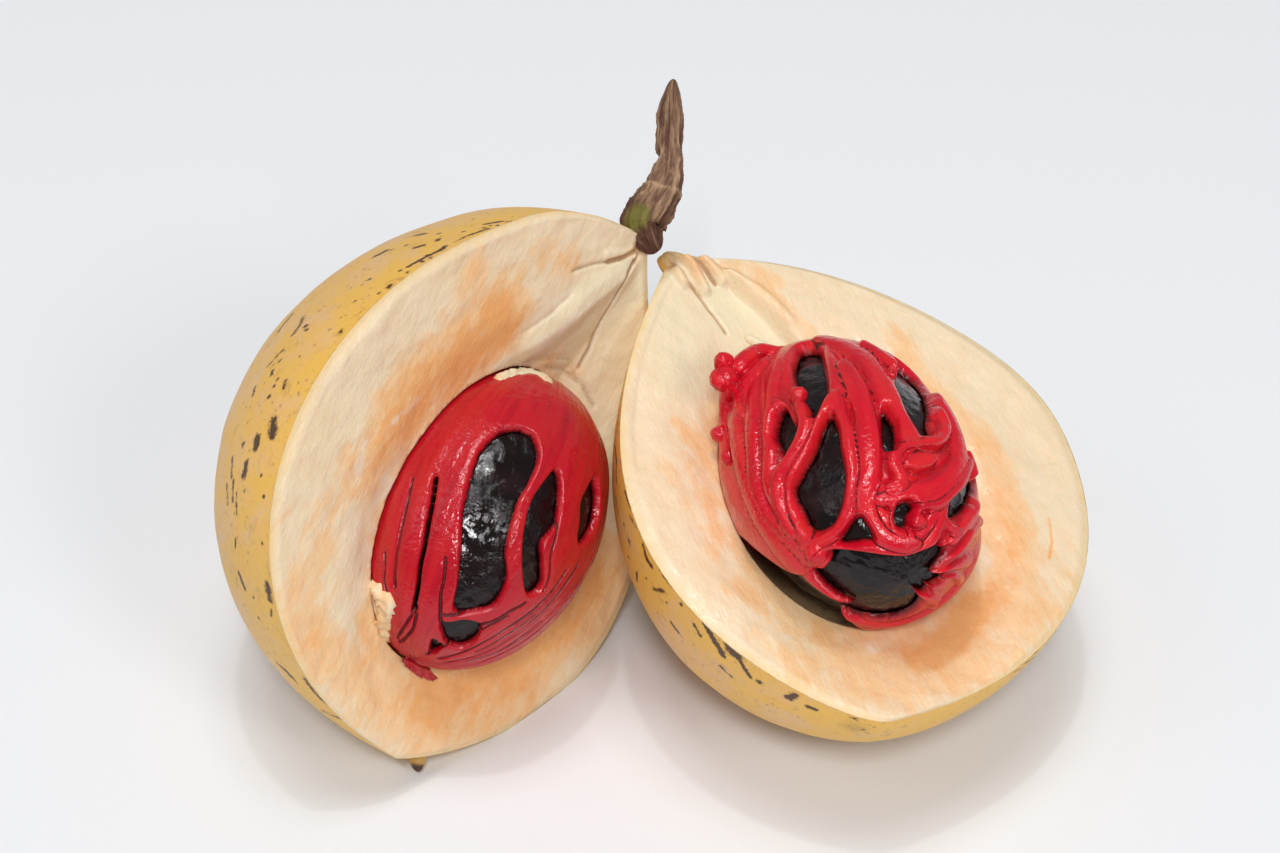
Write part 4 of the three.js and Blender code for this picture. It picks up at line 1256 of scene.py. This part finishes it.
def nut_paint(name, place, settings):
    """A glossy near-black shell with fine wrinkles."""
    paint = Paint(name, specular_ior_level=0.38)
    coords = paint.inside(place)
    wrinkle = paint.noise(coords, 2.2, 3.0, 0.5, 0.8)
    pits = paint.noise(coords, 0.35, 3.0, 0.6)
    smoothed = paint.noise(coords, 6.0, 2.0).eased(0.40, 0.58)
    shell = settings.shell
    colour = paint.mix(wrinkle.eased(0.4, 0.7), shell, tuple(3.0 * share for share in shell))
    rough = paint.node("ShaderNodeMapRange", {}, pits, 0.3, 0.7, 0.03, 0.10)
    paint.feed(Base_Color=colour, Roughness=rough,
               Normal=paint.bump(wrinkle * 0.5 + pits * (0.15 + smoothed * 0.6), 0.12))
    return paint.material


def bark_paint(name, settings):
    """Dry ridged bark with a green patch at its foot."""
    paint = Paint(name, specular_ior_level=0.25)
    coords = paint.node("ShaderNodeAttribute", {"attribute_name": "bark"}, output="Vector")
    ridge = paint.noise(coords, 0.55, 5.0, 0.65, 0.4)
    scale = paint.noise(coords, 2.2, 3.0)
    foot = paint.attribute("foot")
    shade = (ridge * 1.5 + paint.attribute("crest") * 0.45 + scale * 0.3 - 0.62
             - foot * 0.25).eased(0.05, 0.75)
    colour = paint.mix(shade, settings.bark, settings.ridge)
    moss = (paint.attribute("moss") + ridge * 1.2 - 0.6).eased(0.2, 0.85)
    colour = paint.mix(moss * 0.8, colour, settings.moss)
    rough = paint.node("ShaderNodeMapRange", {}, scale, 0.0, 1.0, 0.95, 0.75)
    paint.feed(Base_Color=colour, Roughness=rough, Normal=paint.bump(ridge, 0.35))
    return paint.material


# ---------------------------------------------------------------- the stem

STEM_ROUTE = ((0.1, 22.1, 38.5), (-1.0, 22.8, 39.8), (-1.6, 23.8, 41.0), (-0.5, 25.3, 42.2),
              (0.7, 27.1, 43.4), (1.2, 29.5, 44.7), (1.3, 31.9, 46.1), (1.5, 34.7, 47.8),
              (1.8, 38.1, 50.2))
STEM_RADII = (0.8, 1.7, 2.35, 2.35, 1.95, 1.6, 1.35, 1.4, 0.5)
MOSS_AT = ((-3.0, 21.6, 42.6), (-2.2, 22.4, 43.2))


def stem_shape(along, around):
    """Points of the stem, and how far each stands out as a ridge of bark."""
    line = curve_through(STEM_ROUTE, 20)
    middle, forward = follow(line, np.arange(len(line)), along * (len(line) - 1), 3)
    side = unit(np.cross((1.0, 0.0, 0.0), forward))
    across = np.cross(forward, side)
    angle = 2.0 * math.pi * around
    width = np.interp(along, np.linspace(0, 1, len(STEM_RADII)), STEM_RADII)
    grain = np.stack((np.cos(angle) * 1.8, np.sin(angle) * 1.8, along * 3.2), 1)
    crest = 0.09 * np.cos(5 * angle + 3 * along) + 0.16 * rumple(grain, 0.8, 5)
    crest += 0.08 * rumple(grain * (1.0, 1.0, 2.6), 0.4, 9)
    scar = np.exp(-(((along - 0.47 - 0.02 * np.cos(angle)) / 0.012) ** 2))
    notch = np.exp(-(((along - 0.66) / 0.035) ** 2)) * smooth(-np.cos(angle), 0.3, 1.0)
    closing = np.sqrt(np.maximum(0.0, 1.0 - np.abs(2.0 * along - 1.0) ** 30))
    reach = width * closing * (1.0 + crest + 0.10 * scar - 0.32 * notch)
    return (middle + (reach * np.cos(angle))[:, None] * across
            + (reach * np.sin(angle))[:, None] * side, crest + 0.5 * scar, grain)


# ---------------------------------------------------------------- operators


def build_half(side, half, place, seed_place, relief, marks, extras):
    """Builds a half, hollowed for its seed, with extras that are made as each is joined on."""
    settings = bpy.context.scene.nutmeg.flesh
    name = f"{side}_flesh"
    piece, local = add_half(name, half, relief, marks)
    set_points(piece, place.out(local))
    combine(piece, add_ellipsoid(f"{side}_hollow", half, seed_place, settings.seed_gap / MM))
    for extra in extras:
        combine(piece, extra, "UNION")
    paint_flesh(piece, half, place, relief, marks)
    settle(piece, f"{side}_half", flesh_paint(name, place, settings))


class NUTMEG_OT_right_half(bpy.types.Operator):
    """Build the half that lies on its back"""

    bl_idname = "nutmeg.right_half"
    bl_label = "Right half"

    def execute(self, context):
        rods = (add_rod("fold", RIGHT_PLACE, *rod) for rod in RIGHT_RODS)
        build_half("right", RIGHT, RIGHT_PLACE, RIGHT_SEED, right_relief, RIGHT_MARKS, rods)
        return {"FINISHED"}


class NUTMEG_OT_left_half(bpy.types.Operator):
    """Build the half that stands on its edge"""

    bl_idname = "nutmeg.left_half"
    bl_label = "Left half"

    def execute(self, context):
        def extras():
            yield add_rod("fold", LEFT_PLACE, *LEFT_ROD)
            for shred in LEFT_SHREDS:
                yield add_cord("shred", LEFT, LEFT_SEED, *shred)

        build_half("left", LEFT, LEFT_PLACE, LEFT_SEED, left_relief, LEFT_MARKS, extras())
        return {"FINISHED"}


class NUTMEG_OT_left_mace(bpy.types.Operator):
    """Build the smooth mace of the left half, a sheet with gaps and seams"""

    bl_idname = "nutmeg.left_mace"
    bl_label = "Left mace"

    def execute(self, context):
        settings = context.scene.nutmeg.mace
        size, sheet = LEFT["seed"], settings.sheet / MM

        def seams(points):
            for depth, width, route in LEFT_SEAMS:
                knots = curve_through(route, 6)
                line = mid_mace(size, knots[:, 0], knots[:, 1])
                yield depth, width, distance_to(line, points, 2.0)

        def height(longitude, latitude):
            edge = window_edge(size, LEFT_WINDOWS, longitude, latitude)
            points = mid_mace(size, longitude, latitude)
            level = sheet * lip(edge, 0.3)
            for depth, width, away in seams(points):
                level -= 0.5 * depth * np.exp(-((away / (1.3 * width)) ** 2))
            ring = np.stack((np.radians(longitude) * 2.2, latitude / 160.0, 0 * latitude), 1)
            return level + 0.12 * rumple(ring, 0.35, 21, 3) * smooth(edge, 0.3, 1.2)

        # The mask of painted shade along the seams, where the mace is darkened almost to black,
        # and the strand coordinates.
        def grooves(longitude, latitude):
            points = mid_mace(size, longitude, latitude)
            dark = np.zeros(len(points))
            for depth, width, away in seams(points):
                dark = np.maximum(dark, (0.7 + 0.3 * depth) * (1.0 - away / (2.0 * width)))
            return dark, cord_relief(size, (), longitude, latitude, 0.0)[1]

        piece = add_sheet("left_mace_net", LEFT, LEFT_SEED, height)
        combine(piece, add_lump("scrap", LEFT_PLACE, *LEFT_SCRAP), "UNION")
        finish_mace(piece, LEFT, LEFT_SEED, "left_mace", settings, grooves)
        return {"FINISHED"}


class NUTMEG_OT_right_mace(bpy.types.Operator):
    """Build the fleshy mace of the right half: cords fused into a net, with loose tongues"""

    bl_idname = "nutmeg.right_mace"
    bl_label = "Right mace"

    def execute(self, context):
        settings = context.scene.nutmeg.mace
        size, net = RIGHT["seed"], settings.net / MM

        def height(longitude, latitude):
            edge = window_edge(size, RIGHT_WINDOWS, longitude, latitude)
            back = smooth(np.abs(longitude), 84.0, 98.0) * smooth(latitude, -52.0, -44.0)
            sheet = net + 0.75 * np.maximum(smooth(latitude, 8.0, 30.0), back)
            cords = cord_relief(size, RIGHT_CORDS, longitude, latitude, CORD_FOOT)[0]
            raised = np.maximum(sheet, cords)
            level = np.where(edge < 0, lip(edge, 0.7), raised * lip(edge, 0.7))
            tongues = cord_relief(size, RIGHT_TONGUES, longitude, latitude, 0.0, True)[0]
            return np.maximum(level, tongues)

        # The mask of painted shade in the creases between cords and along the edges of raised
        # cords, and the strand coordinates.
        def grooves(longitude, latitude):
            cords, strand, crease = cord_relief(size, RIGHT_CORDS, longitude, latitude,
                                                CORD_FOOT)
            return crease * (cords > 1.0), strand

        piece = add_sheet("right_mace_net", RIGHT, RIGHT_SEED, height)
        for half_width, top, route in RIGHT_FLAP:
            combine(piece, add_cord("flap", RIGHT, RIGHT_SEED, half_width, top, route), "UNION")
        for radius, longitude, latitude, lift in RIGHT_KNOBS:
            middle = seed_points(size, longitude, latitude, lift)
            combine(piece, add_lump("knob", RIGHT_SEED, middle, 3 * (radius,), 0.14,
                                    (0.8, radius, 3), (28, 32)), "UNION")
        finish_mace(piece, RIGHT, RIGHT_SEED, "right_mace", settings, grooves)
        return {"FINISHED"}


class NUTMEG_OT_nuts(bpy.types.Operator):
    """Build both nuts"""

    bl_idname = "nutmeg.nuts"
    bl_label = "Nuts"

    def execute(self, context):
        settings = context.scene.nutmeg.nut
        wrinkle = settings.wrinkle / MM

        def bumps(points):
            return wrinkle * (rumple(points, 1.6, 11, 4) - 0.8)

        for side, half, place in (("left", LEFT, LEFT_SEED), ("right", RIGHT, RIGHT_SEED)):
            piece = add_ellipsoid(f"{side}_shell", half, place,
                                  half["nut_rise"] - MACE_THICKNESS, NUT_CUTS, bumps)
            settle(piece, f"{side}_nut", nut_paint(f"{side}_nut", place, settings))
        return {"FINISHED"}


class NUTMEG_OT_stem(bpy.types.Operator):
    """Build the woody stem"""

    bl_idname = "nutmeg.stem"
    bl_label = "Stem"

    def execute(self, context):
        piece, along, around = add_ball("stem_bark", *STEM_CUTS)
        points, crest, grain = stem_shape(along, around)
        set_points(piece, points - MIDDLE)
        tag(piece, crest=crest, moss=1.0 - smooth(distance_to(MOSS_AT, points), 0.4, 2.6),
            foot=1.0 - smooth(along, 0.18, 0.42), bark=grain)
        settle(piece, "stem", bark_paint("bark", context.scene.nutmeg.stem))
        return {"FINISHED"}


class NUTMEG_OT_stage(bpy.types.Operator):
    """Build the floor, the lights and the camera"""

    bl_idname = "nutmeg.stage"
    bl_label = "Stage"

    def execute(self, context):
        settings = context.scene.nutmeg.stage
        bpy.ops.object.select_all(action="DESELECT")
        bpy.ops.mesh.primitive_plane_add(size=settings.floor_size)
        floor = context.object
        floor.name = "floor"
        paint = Paint("floor", roughness=0.7, base_color=(*settings.floor, 1.0),
                      specular_ior_level=0.2)
        floor.data.materials.append(paint.material)
        world = context.scene.world or bpy.data.worlds.new("sky")
        context.scene.world = world
        world.use_nodes = True
        sky = world.node_tree.nodes["Background"].inputs
        sky["Color"].default_value = SKY_COLOUR
        sky["Strength"].default_value = settings.sky
        for name, place, wide in LIGHTS:
            bpy.ops.object.light_add(type="AREA", location=place)
            light = context.object
            light.name = name
            light.data.size = wide
            light.data.energy = getattr(settings, name)
            aim = Vector(LIT_POINT) - Vector(place)
            light.rotation_euler = aim.to_track_quat("-Z", "Y").to_euler()
        bpy.ops.object.camera_add(location=CAMERA_AT,
                                  rotation=(math.radians(CAMERA_TILT), 0.0, 0.0))
        camera = context.object
        camera.data.lens = settings.lens
        camera.data.sensor_width = 36.0
        context.scene.camera = camera
        context.scene.view_settings.view_transform = "Standard"
        return {"FINISHED"}


class NUTMEG_PT_panel(bpy.types.Panel):
    """The steps that build the fruit"""

    bl_idname = "NUTMEG_PT_panel"
    bl_label = "Nutmeg fruit"
    bl_space_type = "VIEW_3D"
    bl_region_type = "UI"
    bl_category = "Nutmeg"

    def draw(self, context):
        for step in STEPS:
            self.layout.operator(step.bl_idname)
        settings = context.scene.nutmeg
        for name in ("flesh", "mace", "nut", "stem", "stage"):
            group = getattr(settings, name)
            box = self.layout.box()
            for key in group.bl_rna.properties.keys():
                if key not in ("rna_type", "name"):
                    box.prop(group, key)


STEPS = (NUTMEG_OT_right_half, NUTMEG_OT_left_half, NUTMEG_OT_nuts, NUTMEG_OT_left_mace,
         NUTMEG_OT_right_mace, NUTMEG_OT_stem, NUTMEG_OT_stage)
CLASSES = (FleshSettings, MaceSettings, NutSettings, StemSettings, StageSettings, FruitSettings,
           *STEPS, NUTMEG_PT_panel)


def register():
    for kind in CLASSES:
        bpy.utils.register_class(kind)
    bpy.types.Scene.nutmeg = PointerProperty(type=FruitSettings)


def unregister():
    del bpy.types.Scene.nutmeg
    for kind in reversed(CLASSES):
        bpy.utils.unregister_class(kind)


def main():
    register()
    for step in STEPS:
        group, name = step.bl_idname.split(".")
        getattr(getattr(bpy.ops, group), name)()


if __name__ == "__main__":
    main()
